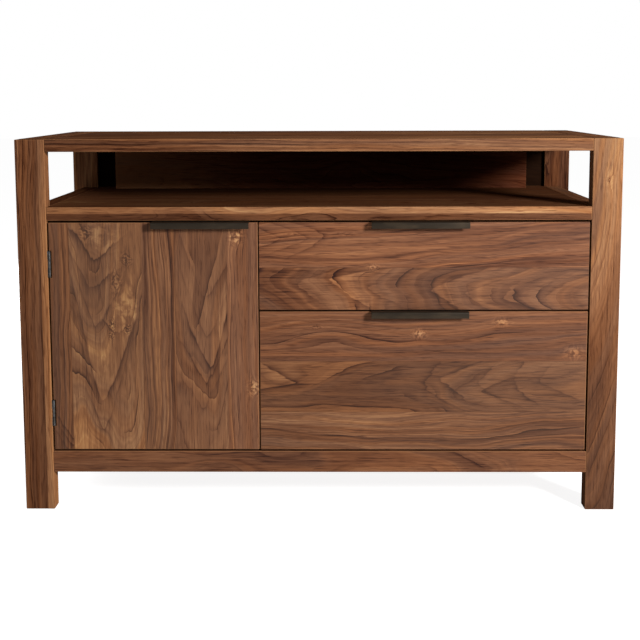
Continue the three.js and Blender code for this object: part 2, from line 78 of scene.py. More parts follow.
def colour(name, description, default):
    """A colour that a user can change."""
    return FloatVectorProperty(
        name=name, description=description, default=default,
        size=3, min=0.0, max=1.0, subtype="COLOR")


def number(name, description, default, **kind):
    """A number that a user can change, not below zero unless its kind says so."""
    return FloatProperty(name=name, description=description, default=default, **{"min": 0.0, **kind})


def length(name, description, default):
    """A size in metres that a user can change."""
    return number(name, description, default, precision=5, subtype="DISTANCE", unit="LENGTH")


class WoodLook(PropertyGroup):
    """Colours and edges of the boards."""

    darkest: colour("Darkest", "Walnut in the darkest growth rings", shade(38, 17, 10))
    dark: colour("Dark", "Walnut in dark streaks", shade(74, 42, 26))
    brown: colour("Brown", "Walnut's main colour", shade(109, 69, 45))
    tan: colour("Tan", "Walnut in pale streaks", shade(137, 91, 60))
    # Pale also paints the highlight along the boards' eased edges
    pale: colour("Pale", "Walnut around knots", shade(168, 118, 78))
    palest: colour("Palest", "Walnut at the heart of a pale knot", shade(205, 156, 104))
    cool: colour("Cool brown", "Greyer walnut that drifts through the boards", shade(97, 71, 56))
    # Painted shade: red-brown on the tops of the open shelf and its left rail, and on the cable cover's
    # front
    painted_shade: colour("FacingShade", "Red-brown that darkens the shelf's top", shade(60, 27, 13))
    # Painted shade: near black on the upper back panel's front, seen through the cable slots
    painted_slot_shade: colour("Recess", "Near black walnut behind the cable slots", shade(16, 8, 5))
    arris: length("Arris", "How far the boards' edges are eased", 0.0015)
    ply_face: colour("Ply face", "Face veneer of the drawer boxes", shade(214, 184, 140))
    ply_core: colour("Ply core", "Dark layers at the plywood's edges", shade(150, 112, 74))
    ply_layer: length("Ply layer", "Thickness of one plywood layer", 0.0013)


class HardwareLook(PropertyGroup):
    """Colours and sizes of the metal and plastic parts."""

    bronze: colour("Bronze", "Oiled bronze of the pulls", shade(29, 24, 18))
    bronze_worn: colour("Worn bronze", "Bronze where hands rub it", shade(57, 46, 33))
    # Darker than satin nickel: painted shade on the hinges, which also darkens the pins and screws
    nickel: colour("Nickel", "Hinges, pins and their screws", shade(64, 61, 58))
    zinc: colour("Zinc", "Drawer slides and rails", shade(186, 190, 194))
    zinc_dull: colour("Dull zinc", "Zinc in its duller crystals", shade(140, 145, 151))
    plastic: colour("Plastic", "Body of the door catch", shade(52, 38, 30))
    screw_radius: length("Screw head", "Radius of the pulls' screw heads", 0.0036)


class StageLook(PropertyGroup):
    """Light, floor and camera."""

    floor: colour("Floor", "Pale floor", (0.55, 0.55, 0.55))
    key_power: number("Key light", "Power of the soft light at the front right", 118.0,
                      subtype="POWER", unit="POWER")
    rear_power: number("Rear light", "Power of the soft light behind the left corner", 95.0,
                       subtype="POWER", unit="POWER")
    room_level: number("Room light", "Even light from all round", 0.20)
    floor_glow: number("Floor glow", "How far the floor is lifted towards white", 0.87)
    camera_place: FloatVectorProperty(
        name="Camera", description="Where the camera stands", size=3,
        default=(0.027, -2.346, 0.850), subtype="TRANSLATION", unit="LENGTH")
    camera_turn: FloatVectorProperty(
        name="Camera turn", description="Pitch from straight down, roll and yaw of the camera", size=3,
        default=(math.radians(83.8), math.radians(-0.17), math.radians(0.64)), subtype="EULER")
    lens: number("Lens", "Focal length on a 36 mm frame, in millimetres", 59.02, min=1.0)
    rise: number("Rise", "Lens shift up or down, as a share of the frame", -0.1694, min=-1.0)


# Nodes


def arithmetic(operation):
    """A method that adds the node of one operation."""
    def method(signal, *others):
        return signal.wires.math(operation, signal, *others)
    return method


class Signal:
    """A node's output. Arithmetic on it adds Math nodes, or Vector Math nodes where it is a vector."""

    def __init__(self, wires, socket):
        self.wires = wires
        self.socket = socket

    __add__ = arithmetic("ADD")
    __sub__ = arithmetic("SUBTRACT")
    __mul__ = arithmetic("MULTIPLY")
    __truediv__ = arithmetic("DIVIDE")
    __pow__ = arithmetic("POWER")
    __abs__ = arithmetic("ABSOLUTE")

    def __rsub__(self, other):
        return self.wires.math("SUBTRACT", other, self)

    def parts(self):
        """The three numbers of a vector."""
        node = self.wires.add("ShaderNodeSeparateXYZ", {0: self})
        return [Signal(self.wires, output) for output in node.outputs]

    def swing(self, reach):
        """Noise from 0 to 1 turned into a swing about zero."""
        return (self - 0.5) * reach

    def step(self, start, end, low=0.0, high=1.0):
        """A smooth step from low at start to high at end, level before and after."""
        return self.wires.signal("ShaderNodeMapRange", "Result", {
            "Value": self, "From Min": start, "From Max": end, "To Min": low, "To Max": high,
        }, interpolation_type="SMOOTHSTEP", clamp=False)


def is_vector(value):
    return isinstance(value, tuple) or isinstance(value, Signal) and value.socket.type != "VALUE"


class Wiring:
    """Adds nodes to one node tree. A value is a number, a tuple or a Signal."""

    def __init__(self, tree):
        self.tree = tree

    def join(self, socket, value):
        if isinstance(value, Signal):
            self.tree.links.new(value.socket, socket)
        elif socket.type == "RGBA":
            socket.default_value = (*value, 1.0)
        else:
            socket.default_value = value

    def add(self, kind, values=None, **settings):
        """A new node with its settings, and its inputs by name or number."""
        node = self.tree.nodes.new(kind)
        for name, setting in settings.items():
            setattr(node, name, setting)
        for key, value in (values or {}).items():
            self.join(node.inputs[key], value)
        return node

    def signal(self, kind, output, values=None, **settings):
        """One output of a new node."""
        return Signal(self, self.add(kind, values, **settings).outputs[output])

    def math(self, operation, *values, clamp=False):
        """One step of arithmetic, on vectors where one of the values is a vector."""
        values_by_input = dict(enumerate(values))
        if any(is_vector(value) for value in values):
            output = "Value" if operation == "LENGTH" else "Vector"
            return self.signal("ShaderNodeVectorMath", output, values_by_input, operation=operation)
        return self.signal("ShaderNodeMath", 0, values_by_input, operation=operation, use_clamp=clamp)

    def combine(self, x, y, z):
        return self.signal("ShaderNodeCombineXYZ", 0, {"X": x, "Y": y, "Z": z})

    def coordinates(self):
        """Where a point is on its object, and the way its surface faces."""
        node = self.add("ShaderNodeTexCoord")
        return Signal(self, node.outputs["Object"]), Signal(self, node.outputs["Normal"])

    def noise(self, place, stretch, shift=(0.0, 0.0, 0.0), detail=2.0, output="Fac"):
        """Noise from 0 to 1 over a stretched and shifted place."""
        where = self.signal("ShaderNodeMapping", 0, {
            "Vector": place, "Scale": stretch, "Location": shift})
        return self.signal("ShaderNodeTexNoise", output, {
            "Vector": where, "Scale": 1.0, "Detail": detail})

    def fibres(self, place, along, across, shift, detail=1.0, output="Fac"):
        """Noise that is drawn out along a board."""
        return self.noise(place, (along, across, across), shift, detail, output)

    def mix(self, share, first, second):
        """Two colours, mixed by the share of the second."""
        return self.signal("ShaderNodeMix", 2, {0: share, 6: first, 7: second}, data_type="RGBA")

    def ramp(self, value, stops):
        """A colour that runs through stops of (value, colour)."""
        node = self.add("ShaderNodeValToRGB", {"Fac": value})
        elements = node.color_ramp.elements
        while len(elements) < len(stops):
            elements.new(0.5)
        for element, (place, tint) in zip(elements, stops):
            element.position = place
            element.color = (*tint, 1.0)
        return Signal(self, node.outputs["Color"])

    def group(self, name, make, values):
        """The outputs of a node group by name. The group is made when it is first asked for."""
        tree = bpy.data.node_groups.get(name) or make(name)
        node = self.add("ShaderNodeGroup", values, node_tree=tree)
        return {output.name: Signal(self, output) for output in node.outputs}


FLOAT, VECTOR, COLOUR = "NodeSocketFloat", "NodeSocketVector", "NodeSocketColor"


def new_group(name, inputs, outputs):
    """An empty node group, its wiring, its inputs as signals and its outputs as sockets."""
    tree = bpy.data.node_groups.new(name, "ShaderNodeTree")
    for way, sockets in (("INPUT", inputs), ("OUTPUT", outputs)):
        for label, kind in sockets.items():
            tree.interface.new_socket(label, in_out=way, socket_type=kind)
    w = Wiring(tree)
    given = {output.name: Signal(w, output) for output in w.add("NodeGroupInput").outputs}
    return tree, w, given, w.add("NodeGroupOutput").inputs


def new_material(name):
    """A material with one Principled shader, and its wiring."""
    material = bpy.data.materials.new(name)
    material.use_nodes = True
    tree = material.node_tree
    shader = next(node for node in tree.nodes if node.type == "BSDF_PRINCIPLED")
    return material, Wiring(tree), shader


def set_surface(w, shader, tint, roughness, bump, metallic=0.0, specular=0.5):
    """Sets a shader's colour, its shine and its bump, which is (height, strength, distance)."""
    height, strength, distance = bump
    w.join(shader.inputs["Base Color"], tint)
    w.join(shader.inputs["Roughness"], roughness)
    w.join(shader.inputs["Normal"], w.signal("ShaderNodeBump", "Normal", {
        "Height": height, "Strength": strength, "Distance": distance}))
    shader.inputs["Metallic"].default_value = metallic
    shader.inputs["Specular IOR Level"].default_value = specular


# Walnut

# How a board's colour leans to cool and to warm from ring to ring
COOL_CAST = (0.96, 1.0, 1.08)
WARM_CAST = (1.05, 0.985, 0.90)

# How far noise moves in each direction for one step of a stave's seed
SEED_SHIFT = (7.31, 3.17, 5.73)


def make_grain_group(name):
    """Walnut sawn from a log, at a place given as (along, across, through) the board.

    The log's heart is a line at a depth behind the face, which may lean across the board and come
    nearer to the face along it. Distance from that line, swayed by slow noise, counts the growth
    rings. Each ring ends in a dark line of its own strength, and slower noise over the same distance
    gives broad dark and pale bands, so that arches and stripes come from the cut alone. With part
    going from 0 to 1 through a ring, the ring starts pale as (1 - part)^6 and ends dark as part^8.
    """
    wood = bpy.context.scene.credenza_wood
    tree, w, given, made = new_group(
        name,
        {"Place": VECTOR, "Heart": VECTOR, "Rings": VECTOR, "Look": VECTOR, "Hue": VECTOR,
         "Bend": FLOAT, "Glow": FLOAT},
        {"Colour": COLOUR, "Roughness": FLOAT, "Height": FLOAT})
    place = given["Place"]
    along, across, through = place.parts()
    heart, lean, depth = given["Heart"].parts()
    taper, spacing, seed = given["Rings"].parts()
    wander, tone, contrast = given["Look"].parts()
    grey, blush, _ = given["Hue"].parts()
    shift = seed * SEED_SHIFT

    slow = w.fibres(place, 2.1, 6.5, shift, 2.0, "Color").parts()
    quick = w.fibres(place, 8.0, 27.0, shift)
    sway = wander * (slow[0].swing(0.11) + quick.swing(0.022))
    swell = wander * slow[1].swing(0.10)
    from_heart = across - heart - lean * along + sway
    below = through + depth + taper * along + swell
    ragged = w.fibres(place, 15.0, 120.0, shift, 2.0)
    radius = w.math("LENGTH", w.combine(from_heart, below, 0.0)) + given["Bend"] + ragged.swing(0.0024)
    count = radius / spacing
    part = w.math("FRACT", count)
    ring = w.math("FLOOR", count) + seed
    strength = w.signal("ShaderNodeTexWhiteNoise", "Value", {"W": ring}, noise_dimensions="1D")
    late = part ** 8.0
    early = (1.0 - part) ** 6.0
    drawn = w.fibres(place, 5.0, 26.0, shift).step(0.34, 0.60) * strength ** 1.6
    lines = late * drawn

    by_ring = w.combine(radius * 26.0, along * 0.9, seed)
    bands = w.noise(by_ring, (1.0, 1.0, 1.0), shift, 4.0)
    flow = w.noise(by_ring, (6.0, 6.0, 1.0), shift, 3.0)
    stripes = w.noise(by_ring, (9.0, 0.9, 1.0), shift, 2.0).step(0.34, 0.66)
    cast = w.noise(by_ring, (3.0, 1.8, 1.0), shift, 3.0).step(0.36, 0.64)
    patches = w.fibres(place, 1.7, 9.0, shift, 2.0)
    streaks = w.fibres(place, 3.5, 120.0, shift, 2.0)
    strands = w.fibres(place, 7.0, 340.0, shift)
    dashes = w.fibres(place, 24.0, 420.0, shift).step(0.56, 0.74)
    pores = w.fibres(place, 48.0, 950.0, shift, 0.0).step(0.60, 0.74)
    cool = w.noise(by_ring, (0.35, 1.3, 1.0), shift, 1.0).step(0.36, 0.66, 0.0, 0.45)

    figure = (bands.swing(0.60) + flow.swing(0.44) + stripes.swing(0.17)
              - lines * 1.15 + early * drawn * 0.20)
    value = (figure * contrast + patches.swing(0.30) + streaks.swing(0.22) + strands.swing(0.32)
             - dashes * 0.22 + tone + given["Glow"] + 0.50)
    tint = w.ramp(value, [
        (0.0, wood.darkest), (0.22, wood.dark), (0.46, wood.brown), (0.64, wood.tan),
        (0.82, wood.pale), (1.0, wood.palest)])
    cool = w.math("ADD", cool, grey, clamp=True)
    tint = w.mix(cool, tint, w.mix(0.75, tint, wood.cool))
    tint = tint * w.mix(cast, COOL_CAST, WARM_CAST) * w.combine(1.0, 1.0 - blush, 1.0)
    w.join(made["Colour"], w.mix(pores * 0.3, tint, wood.darkest))
    w.join(made["Roughness"], pores * 0.14 + 0.50 - lines * 0.06)
    w.join(made["Height"], pores * -1.0)
    return tree


def make_knot_group(name):
    """A place where the rings bow round a small branch.

    The bow falls off as exp(-q^2), where q is the distance from the centre in radii of an ellipse.
    The glow is a burst of pale and dark flecks that flare out from the centre, as fine noise.
    """
    tree, w, given, made = new_group(
        name, {"Place": VECTOR, "Centre": VECTOR, "Radii": VECTOR}, {"Bow": FLOAT, "Glow": FLOAT})
    x, y, _ = ((given["Place"] - given["Centre"]) / given["Radii"]).parts()
    square = x * x + y * y
    flared = w.combine(x + x * abs(y), y, 0.0)
    flecks = w.noise(flared, (2.6, 1.5, 1.0), given["Centre"] * (91.0, 57.0, 1.0), 3.0)
    w.join(made["Bow"], w.math("EXPONENT", square * -1.0))
    w.join(made["Glow"], w.math("EXPONENT", square * -1.5) * flecks.step(0.40, 0.60, -0.25, 1.0))
    return tree


def make_arch_group(name):
    """One bold growth ring drawn as an arch, where a plain cut crosses it.

    The arch is a rounded V: at a distance q across from its tip it has run
    mean * ((q^2 + soft^2)^0.5 - soft) + skew * q along the board. With d the distance from that
    line, outside is dark as exp(d / fade) and ends sharply on the line, and inside is pale as
    exp(-d / (2 * fade)). Noise along the fibres makes the line ragged.
    """
    tree, w, given, made = new_group(
        name, {"Place": VECTOR, "Tip": VECTOR, "Shape": VECTOR, "Window": VECTOR, "Fade": VECTOR},
        {"Mark": FLOAT})
    place = given["Place"]
    along, across, _ = place.parts()
    tip_along, tip_across, way = given["Tip"].parts()
    mean, skew, soft = given["Shape"].parts()
    low, high, reach = given["Window"].parts()
    fade, dark, pale = given["Fade"].parts()
    shift = given["Tip"] * (91.0, 57.0, 0.0)
    ragged = (w.fibres(place, 14.0, 150.0, shift, 2.0).swing(0.018)
              + w.fibres(place, 5.0, 30.0, shift, 2.0).swing(0.030))
    q = across - tip_across + w.fibres(place, 6.0, 16.0, shift).swing(0.016)
    round_q = w.math("SQRT", q * q + soft * soft)
    slope = w.math("MULTIPLY_ADD", mean, q / round_q, skew)
    run = mean * (round_q - soft) + skew * q
    past = (along - tip_along) * way - run
    distance = (past + ragged) / w.math("SQRT", w.math("MULTIPLY_ADD", slope, slope, 1.0))
    inside = w.math("MAXIMUM", distance, 0.0)
    outside = w.math("MINIMUM", distance, 0.0)
    line = w.math("EXPONENT", outside / fade - inside * 900.0)
    fill = distance.step(0.0, 0.0022) * w.math("EXPONENT", inside / (fade * -2.0))
    window = w.math("GREATER_THAN", across, low) * w.math("LESS_THAN", across, high)
    near = (abs(q) / reach).step(0.45, 1.0, 1.0, 0.0)
    fading = w.fibres(place, 10.0, 26.0, shift).step(0.34, 0.60, 0.2, 1.0)
    w.join(made["Mark"], (fill * pale - line * dark * fading) * window * near)
    return tree


# Boards

# Heart, lean, depth and taper place the log's heart, ring is a growth ring's width, seed moves the noise
# and wander says how far the grain sways. The last four are shares of pale, of figure, of grey and of red.
Stave = namedtuple(
    "Stave", "heart lean depth taper ring seed wander tone contrast grey blush", defaults=(0.0, 0.0))

# An ellipse that is paler or darker than the rings, and may bow them
Knot = namedtuple("Knot", "along across long wide glow bow", defaults=(0.0,))

# A tip, the slopes below and above it, how round it is, and the way along in which the arch opens
Arch = namedtuple("Arch", "along across below above soft reach fade dark pale way", defaults=(1.0,))

# Painted highlight past a start along one axis, and painted shade on the faces that look one way
HighlightBand = namedtuple("HighlightBand", "axis start glow")
FacingShade = namedtuple("FacingShade", "axis way share tint")

WELD_REACH = 0.00002
EASED_ANGLE = math.radians(40.0)
HIGHLIGHT_BLUR = 0.0006
GLUE_LINE = 0.0004
BEYOND_BOARD = 9.0
CASE_SEED = 41
# Share of painted shade on the edges round the door and drawer fronts, as in the gaps between them
FRONT_GAP_SHADE = 0.6
SATIN = 0.12
MATT = 0.0


def span(node, axis):
    """Lowest and highest value of a node along an axis."""
    low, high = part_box(node)
    return low[AXIS[axis]], high[AXIS[axis]]


def centre(node, axis):
    low, high = span(node, axis)
    return (low + high) / 2.0


FRONT_Y = span("front_left_leg", "y")[0]


def dress(node, material, arris):
    """Gives a CAD board its material and eased edges."""
    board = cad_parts[node]
    board.data.materials.clear()
    board.data.materials.append(material)
    weld = board.modifiers.new("join corners", "WELD")
    weld.merge_threshold = WELD_REACH
    bevel = board.modifiers.new("eased edges", "BEVEL")
    bevel.width = arris
    bevel.segments = 3
    bevel.limit_method = "ANGLE"
    bevel.angle_limit = EASED_ANGLE
    bevel.use_clamp_overlap = False
    bevel.harden_normals = True


def walnut_board(node, axes, side, staves, cuts=(), knots=(), arches=(), band=None, drift=0.0,
                 swell=0.0, painted_shade=None, edge=0.0, gloss=SATIN):
    """Gives a board its own walnut and eased edges.

    Axes are the board's (along, across, through), and its face is at the high end of through where
    side is 1 and at the low end where it is -1. Cuts are the glue lines between staves. At a distance
    a along from the middle the board is paler by drift * a + swell * a^2. A band paints a highlight
    past a start along one axis, a painted shade colours the faces that look one way, and edge paints
    shade on the faces round the board, as in the gaps round a front. Eased edges take pale walnut,
    a painted highlight that partly stands for a worn finish.
    """
    wood = bpy.context.scene.credenza_wood
    material, w, shader = new_material(f"walnut {node.replace('_', ' ')}")
    spot, facing = w.coordinates()
    point = spot.parts()
    normal = abs(facing).parts()
    long_way, wide_way, deep_way = (AXIS[axis] for axis in axes)
    middle = centre(node, axes[0])
    face = span(node, axes[2])[1 if side > 0 else 0]
    along = point[long_way] - middle
    across = point[wide_way]
    place = w.combine(along, across, point[deep_way] - face)
    masks = [w.math("GREATER_THAN", across, cut) for cut in cuts]

    bend, glow = 0.0, 0.0
    for knot in knots:
        burl = w.group("walnut knot", make_knot_group, {
            "Place": place, "Centre": (knot.along - middle, knot.across, 0.0),
            "Radii": (knot.long, knot.wide, 1.0)})
        bend = w.math("MULTIPLY_ADD", burl["Bow"], knot.bow, bend)
        glow = w.math("MULTIPLY_ADD", burl["Glow"], knot.glow, glow)
    limits = [-BEYOND_BOARD, *cuts, BEYOND_BOARD]
    for arch in arches:
        stave = sum(cut <= arch.across for cut in cuts)
        mean, skew = (arch.above + arch.below) / 2.0, (arch.above - arch.below) / 2.0
        ring = w.group("walnut arch", make_arch_group, {
            "Place": place, "Tip": (arch.along - middle, arch.across, arch.way),
            "Shape": (mean, skew, arch.soft), "Window": (*limits[stave:stave + 2], arch.reach),
            "Fade": (arch.fade, arch.dark, arch.pale)})
        glow = ring["Mark"] + glow
    # Painted highlight: paler wood past a start along one axis, as on the open shelf's upper half
    if band:
        past = point[AXIS[band.axis]].step(band.start - HIGHLIGHT_BLUR, band.start + HIGHLIGHT_BLUR)
        glow = w.math("MULTIPLY_ADD", past, band.glow, glow)
    if drift:
        glow = w.math("MULTIPLY_ADD", along, drift, glow)
    # swell is used only on the cable cover, where with drift it paints light at both ends
    if swell:
        glow = w.math("MULTIPLY_ADD", along * along, swell, glow)

    def by_stave(*fields):
        """Three of the staves' values, which change from one stave to the next past each mask."""
        rows = [tuple(getattr(stave, field) for field in fields) for stave in staves]
        result = rows[0]
        for row, next_row, mask in zip(rows, rows[1:], masks):
            change = tuple(b - a for a, b in zip(row, next_row))
            result = w.math("MULTIPLY_ADD", mask, change, result)
        return result

    grain = w.group("walnut grain", make_grain_group, {
        "Place": place, "Heart": by_stave("heart", "lean", "depth"),
        "Rings": by_stave("taper", "ring", "seed"), "Look": by_stave("wander", "tone", "contrast"),
        "Hue": by_stave("grey", "blush", "seed"), "Bend": bend, "Glow": glow})
    flattest = w.math("MAXIMUM", w.math("MAXIMUM", normal[0], normal[1]), normal[2])
    end = normal[long_way].step(0.75, 0.95)
    # Painted highlight: eased edges take pale walnut, partly standing for a worn finish
    tint = w.mix(flattest.step(0.985, 0.88, 0.0, 0.55), grain["Colour"], wood.pale)
    tint = w.mix(end * 0.45, tint, wood.darkest)
    for cut in cuts:
        tint = w.mix(w.math("COMPARE", across, cut, GLUE_LINE) * 0.35, tint, wood.darkest)
    # Painted shade: the faces round a front darken towards the darkest walnut, as in the gaps round it
    if edge:
        tint = w.mix(normal[deep_way].step(0.5, 0.2, 0.0, edge), tint, wood.darkest)
    # Painted shade on the faces that look one way
    if painted_shade:
        towards = facing.parts()[AXIS[painted_shade.axis]] * painted_shade.way
        tint = w.mix(towards.step(0.5, 0.8, 0.0, painted_shade.share), tint, painted_shade.tint)
    roughness = w.math("MULTIPLY_ADD", end, 0.15, grain["Roughness"])
    set_surface(w, shader, tint, roughness, (grain["Height"], 0.3, 0.0003), specular=gloss)
    dress(node, material, wood.arris)


def random_staves(random, node, axis, width, tone, contrast):
    """Staves and glue lines of a panel that is glued up, across an axis, from boards of about one width."""
    low, high = span(node, axis)
    count = max(1, round((high - low) / width))
    inner = np.linspace(low, high, count + 1)[1:-1] + random.uniform(-0.15, 0.15, count - 1) * width
    edges = np.concatenate([[low], inner, [high]])
    staves = []
    for left, right in zip(edges, edges[1:]):
        staves.append(Stave(
            heart=random.uniform(left - 0.6 * width, right + 0.6 * width),
            lean=random.uniform(-0.06, 0.06), depth=random.uniform(0.06, 0.16),
            taper=random.choice([-1.0, 1.0]) * random.uniform(0.03, 0.10),
            ring=random.uniform(0.0030, 0.0046), seed=random.uniform(0.0, 90.0),
            wander=random.uniform(0.7, 1.2), tone=tone + random.uniform(-0.05, 0.05),
            contrast=contrast * random.uniform(0.85, 1.1)))
    return staves, [float(cut) for cut in inner]


# Case boards made of random staves: node, axes, side of the face, stave width, tone, contrast and gloss
PLAIN_BOARDS = [
    ("rear_left_leg", "zxy", 1, 0.30, 0.13, 0.8, MATT),
    ("rear_right_leg", "zxy", 1, 0.30, -0.20, 0.5, MATT),
    ("left_top_rail", "yxz", 1, 0.30, -0.04, 0.9, MATT),
    ("right_top_rail", "yxz", 1, 0.30, 0.04, 0.9, MATT),
    ("left_shelf_rail", "yxz", 1, 0.30, 0.0, 0.9, MATT),
    ("right_shelf_rail", "yxz", 1, 0.30, 0.0, 0.9, MATT),
    ("left_side_panel", "zyx", -1, 0.12, 0.0, 1.0, SATIN),
    ("right_side_panel", "zyx", 1, 0.12, 0.0, 1.0, SATIN),
    ("rear_bottom_rail", "xzy", 1, 0.30, 0.0, 0.9, SATIN),
    ("bottom_panel", "xyz", 1, 0.14, -0.04, 0.8, SATIN),
    ("centre_partition", "zyx", -1, 0.13, -0.04, 0.8, SATIN),
    ("upper_back_panel", "xzy", 1, 0.30, 0.0, 0.9, MATT),
    ("lower_back_panel", "xzy", 1, 0.16, 0.0, 0.95, SATIN),
    ("adjustable_shelf", "xyz", 1, 0.13, 0.0, 0.85, SATIN),
]


class CREDENZA_OT_case(Operator):
    """Gives legs, rails, shelves and panels their walnut and eased edges."""

    bl_idname = "credenza.case"
    bl_label = "Case boards"

    def execute(self, context):
        wood = context.scene.credenza_wood
        random = np.random.default_rng(CASE_SEED)
        # Painted shade: red-brown on the left shelf rail's top inside the open shelf, near black on the
        # upper back panel's front behind the cable slots
        facing_shades = {"left_shelf_rail": FacingShade("z", 1.0, 0.75, wood.painted_shade),
                  "upper_back_panel": FacingShade("y", -1.0, 0.95, wood.painted_slot_shade)}
        for node, axes, side, width, tone, contrast, gloss in PLAIN_BOARDS:
            staves, cuts = random_staves(random, node, axes[1], width, tone, contrast)
            walnut_board(node, axes, side, staves, cuts, painted_shade=facing_shades.get(node), gloss=gloss)
        self.level_boards(wood, random)
        self.front_boards()
        return {"FINISHED"}

    def level_boards(self, wood, random):
        """The top, the open shelf, with a painted highlight on its upper half and painted shade on its top,
        and the cable cover behind it, with painted shade on its front and painted light at both ends.
        """
        staves, cuts = random_staves(random, "top_panel", "y", 0.13, -0.01, 0.9)
        staves[0] = staves[0]._replace(
            heart=FRONT_Y + 0.03, lean=0.0, depth=0.16, taper=0.01, ring=0.0075, wander=0.25,
            tone=0.09, contrast=1.1)
        walnut_board("top_panel", "xyz", 1, staves, cuts, drift=0.22, gloss=MATT)
        staves, cuts = random_staves(random, "open_shelf", "y", 0.15, -0.15, 0.8)
        # Painted highlight on the open shelf's upper half and painted shade on its top
        walnut_board("open_shelf", "xyz", 1, staves, cuts, gloss=MATT,
                     band=HighlightBand("z", centre("open_shelf", "z"), 0.35),
                     painted_shade=FacingShade("z", 1.0, 0.75, wood.painted_shade))
        staves, cuts = random_staves(random, "cable_cover_panel", "z", 0.2, 0.0, 0.6)
        staves = [stave._replace(grey=-0.5, blush=0.12) for stave in staves]
        # Painted shade on the cable cover's front, and painted light at both its ends from drift and swell
        walnut_board("cable_cover_panel", "xzy", -1, staves, cuts, gloss=MATT,
                     drift=-0.85, swell=1.7, painted_shade=FacingShade("y", -1.0, 0.6, wood.painted_shade))

    def front_boards(self):
        """The front legs and the bottom rail between them."""
        walnut_board(
            "front_left_leg", "zxy", -1,
            [Stave(-0.78, 0.01, 0.06, 0.02, 0.0100, 11.3, 0.6, -0.05, 0.90, -0.03),
             Stave(-0.70, 0.00, 0.05, 0.01, 0.0070, 23.9, 0.3, 0.24, 0.6, -0.1)],
            cuts=[-0.564], gloss=MATT)
        walnut_board(
            "front_right_leg", "zxy", -1,
            [Stave(0.500, 0.03, 0.10, -0.20, 0.0090, 37.7, 0.35, 0.05, 0.55, 0.12, -0.01)],
            knots=[Knot(0.684, 0.582, 0.026, 0.012, 0.10, 0.008),
                   Knot(0.684, 0.582, 0.007, 0.004, -0.45)], drift=0.72, gloss=MATT)
        walnut_board(
            "front_bottom_rail", "xzy", -1,
            [Stave(0.085, 0.015, 0.10, 0.05, 0.0090, 52.1, 1.1, -0.02, 0.6, -0.30)])


DOOR_STAVES = [
    Stave(-0.80, 0.02, 0.05, 0.04, 0.0110, 3.3, 0.6, -0.05, 1.1, -0.12, -0.01),
    Stave(-0.452, 0.01, 0.150, -0.115, 0.0090, 61.2, 1.25, 0.15, 0.85, 0.22, -0.02),
    Stave(-0.60, 0.012, 0.06, -0.02, 0.0120, 87.1, 0.45, 0.0, 1.8, 0.14, -0.012),
    Stave(-0.232, 0.02, 0.120, -0.095, 0.0090, 17.8, 0.9, 0.03, 0.75, 0.22, -0.01),
    Stave(0.06, -0.03, 0.06, 0.03, 0.0110, 45.5, 0.5, 0.06, 0.7, 0.22, 0.02),
]
DOOR_KNOTS = [
    Knot(0.570, -0.166, 0.020, 0.016, 0.42, 0.008),
    Knot(0.258, -0.132, 0.024, 0.015, 0.46, 0.009),
    Knot(0.575, -0.440, 0.050, 0.034, 0.27),
    Knot(0.430, -0.392, 0.066, 0.026, 0.40),
    Knot(0.320, -0.441, 0.055, 0.014, 0.12),
    Knot(0.580, -0.472, 0.018, 0.014, -0.62),
    Knot(0.478, -0.412, 0.030, 0.010, -0.70),
    Knot(0.525, -0.390, 0.016, 0.012, -0.65),
    Knot(0.392, -0.4225, 0.014, 0.007, -0.90),
    Knot(0.370, -0.4230, 0.012, 0.006, -0.80),
    Knot(0.381, -0.3910, 0.012, 0.008, -0.70),
]
DOOR_ARCHES = [
    Arch(0.5272, -0.4556, 1.4, 0.8, 0.006, 0.080, 0.0045, 0.62, 0.18),
    Arch(0.4718, -0.4638, 2.2, 0.7, 0.006, 0.090, 0.0050, 0.52, 0.08),
    Arch(0.3900, -0.4560, 3.6, 2.0, 0.008, 0.090, 0.0030, 0.30, 0.04),
    Arch(0.2317, -0.4473, 5.0, 2.6, 0.008, 0.100, 0.0070, 0.56, 0.06),
    Arch(0.1700, -0.4440, 5.0, 3.6, 0.008, 0.090, 0.0030, 0.28, 0.04),
    Arch(0.3712, -0.4142, 1.0, 0.6, 0.004, 0.036, 0.0030, 0.62, 0.18),
    Arch(0.4512, -0.2323, 3.2, 2.0, 0.010, 0.070, 0.0070, 0.22, 0.03),
    Arch(0.3700, -0.2290, 3.2, 2.4, 0.008, 0.070, 0.0030, 0.20, 0.03),
    Arch(0.3014, -0.2178, 2.45, 4.1, 0.006, 0.070, 0.0045, 0.54, 0.12),
    Arch(0.2676, -0.2302, 1.9, 2.3, 0.003, 0.070, 0.0030, 0.46, 0.02),
    Arch(0.2163, -0.2364, 1.6, 2.2, 0.004, 0.060, 0.0030, 0.28, 0.02),
    Arch(0.1560, -0.5110, 1.9, 1.0, 0.002, 0.060, 0.0030, 0.30, 0.08),
    Arch(0.1360, -0.5110, 1.7, 1.0, 0.002, 0.060, 0.0030, 0.30, 0.08),
    Arch(0.1180, -0.5110, 1.5, 1.0, 0.002, 0.060, 0.0030, 0.30, 0.08),
]
DOOR_CUTS = [-0.506, -0.359, -0.292, -0.186]


class CREDENZA_OT_door(Operator):
    """Gives the door its five glued-up staves, with the arches and knots of each."""

    bl_idname = "credenza.door"
    bl_label = "Door"

    def execute(self, context):
        walnut_board("door_panel", "zxy", -1, DOOR_STAVES, DOOR_CUTS, DOOR_KNOTS, DOOR_ARCHES,
                     edge=FRONT_GAP_SHADE)
        return {"FINISHED"}


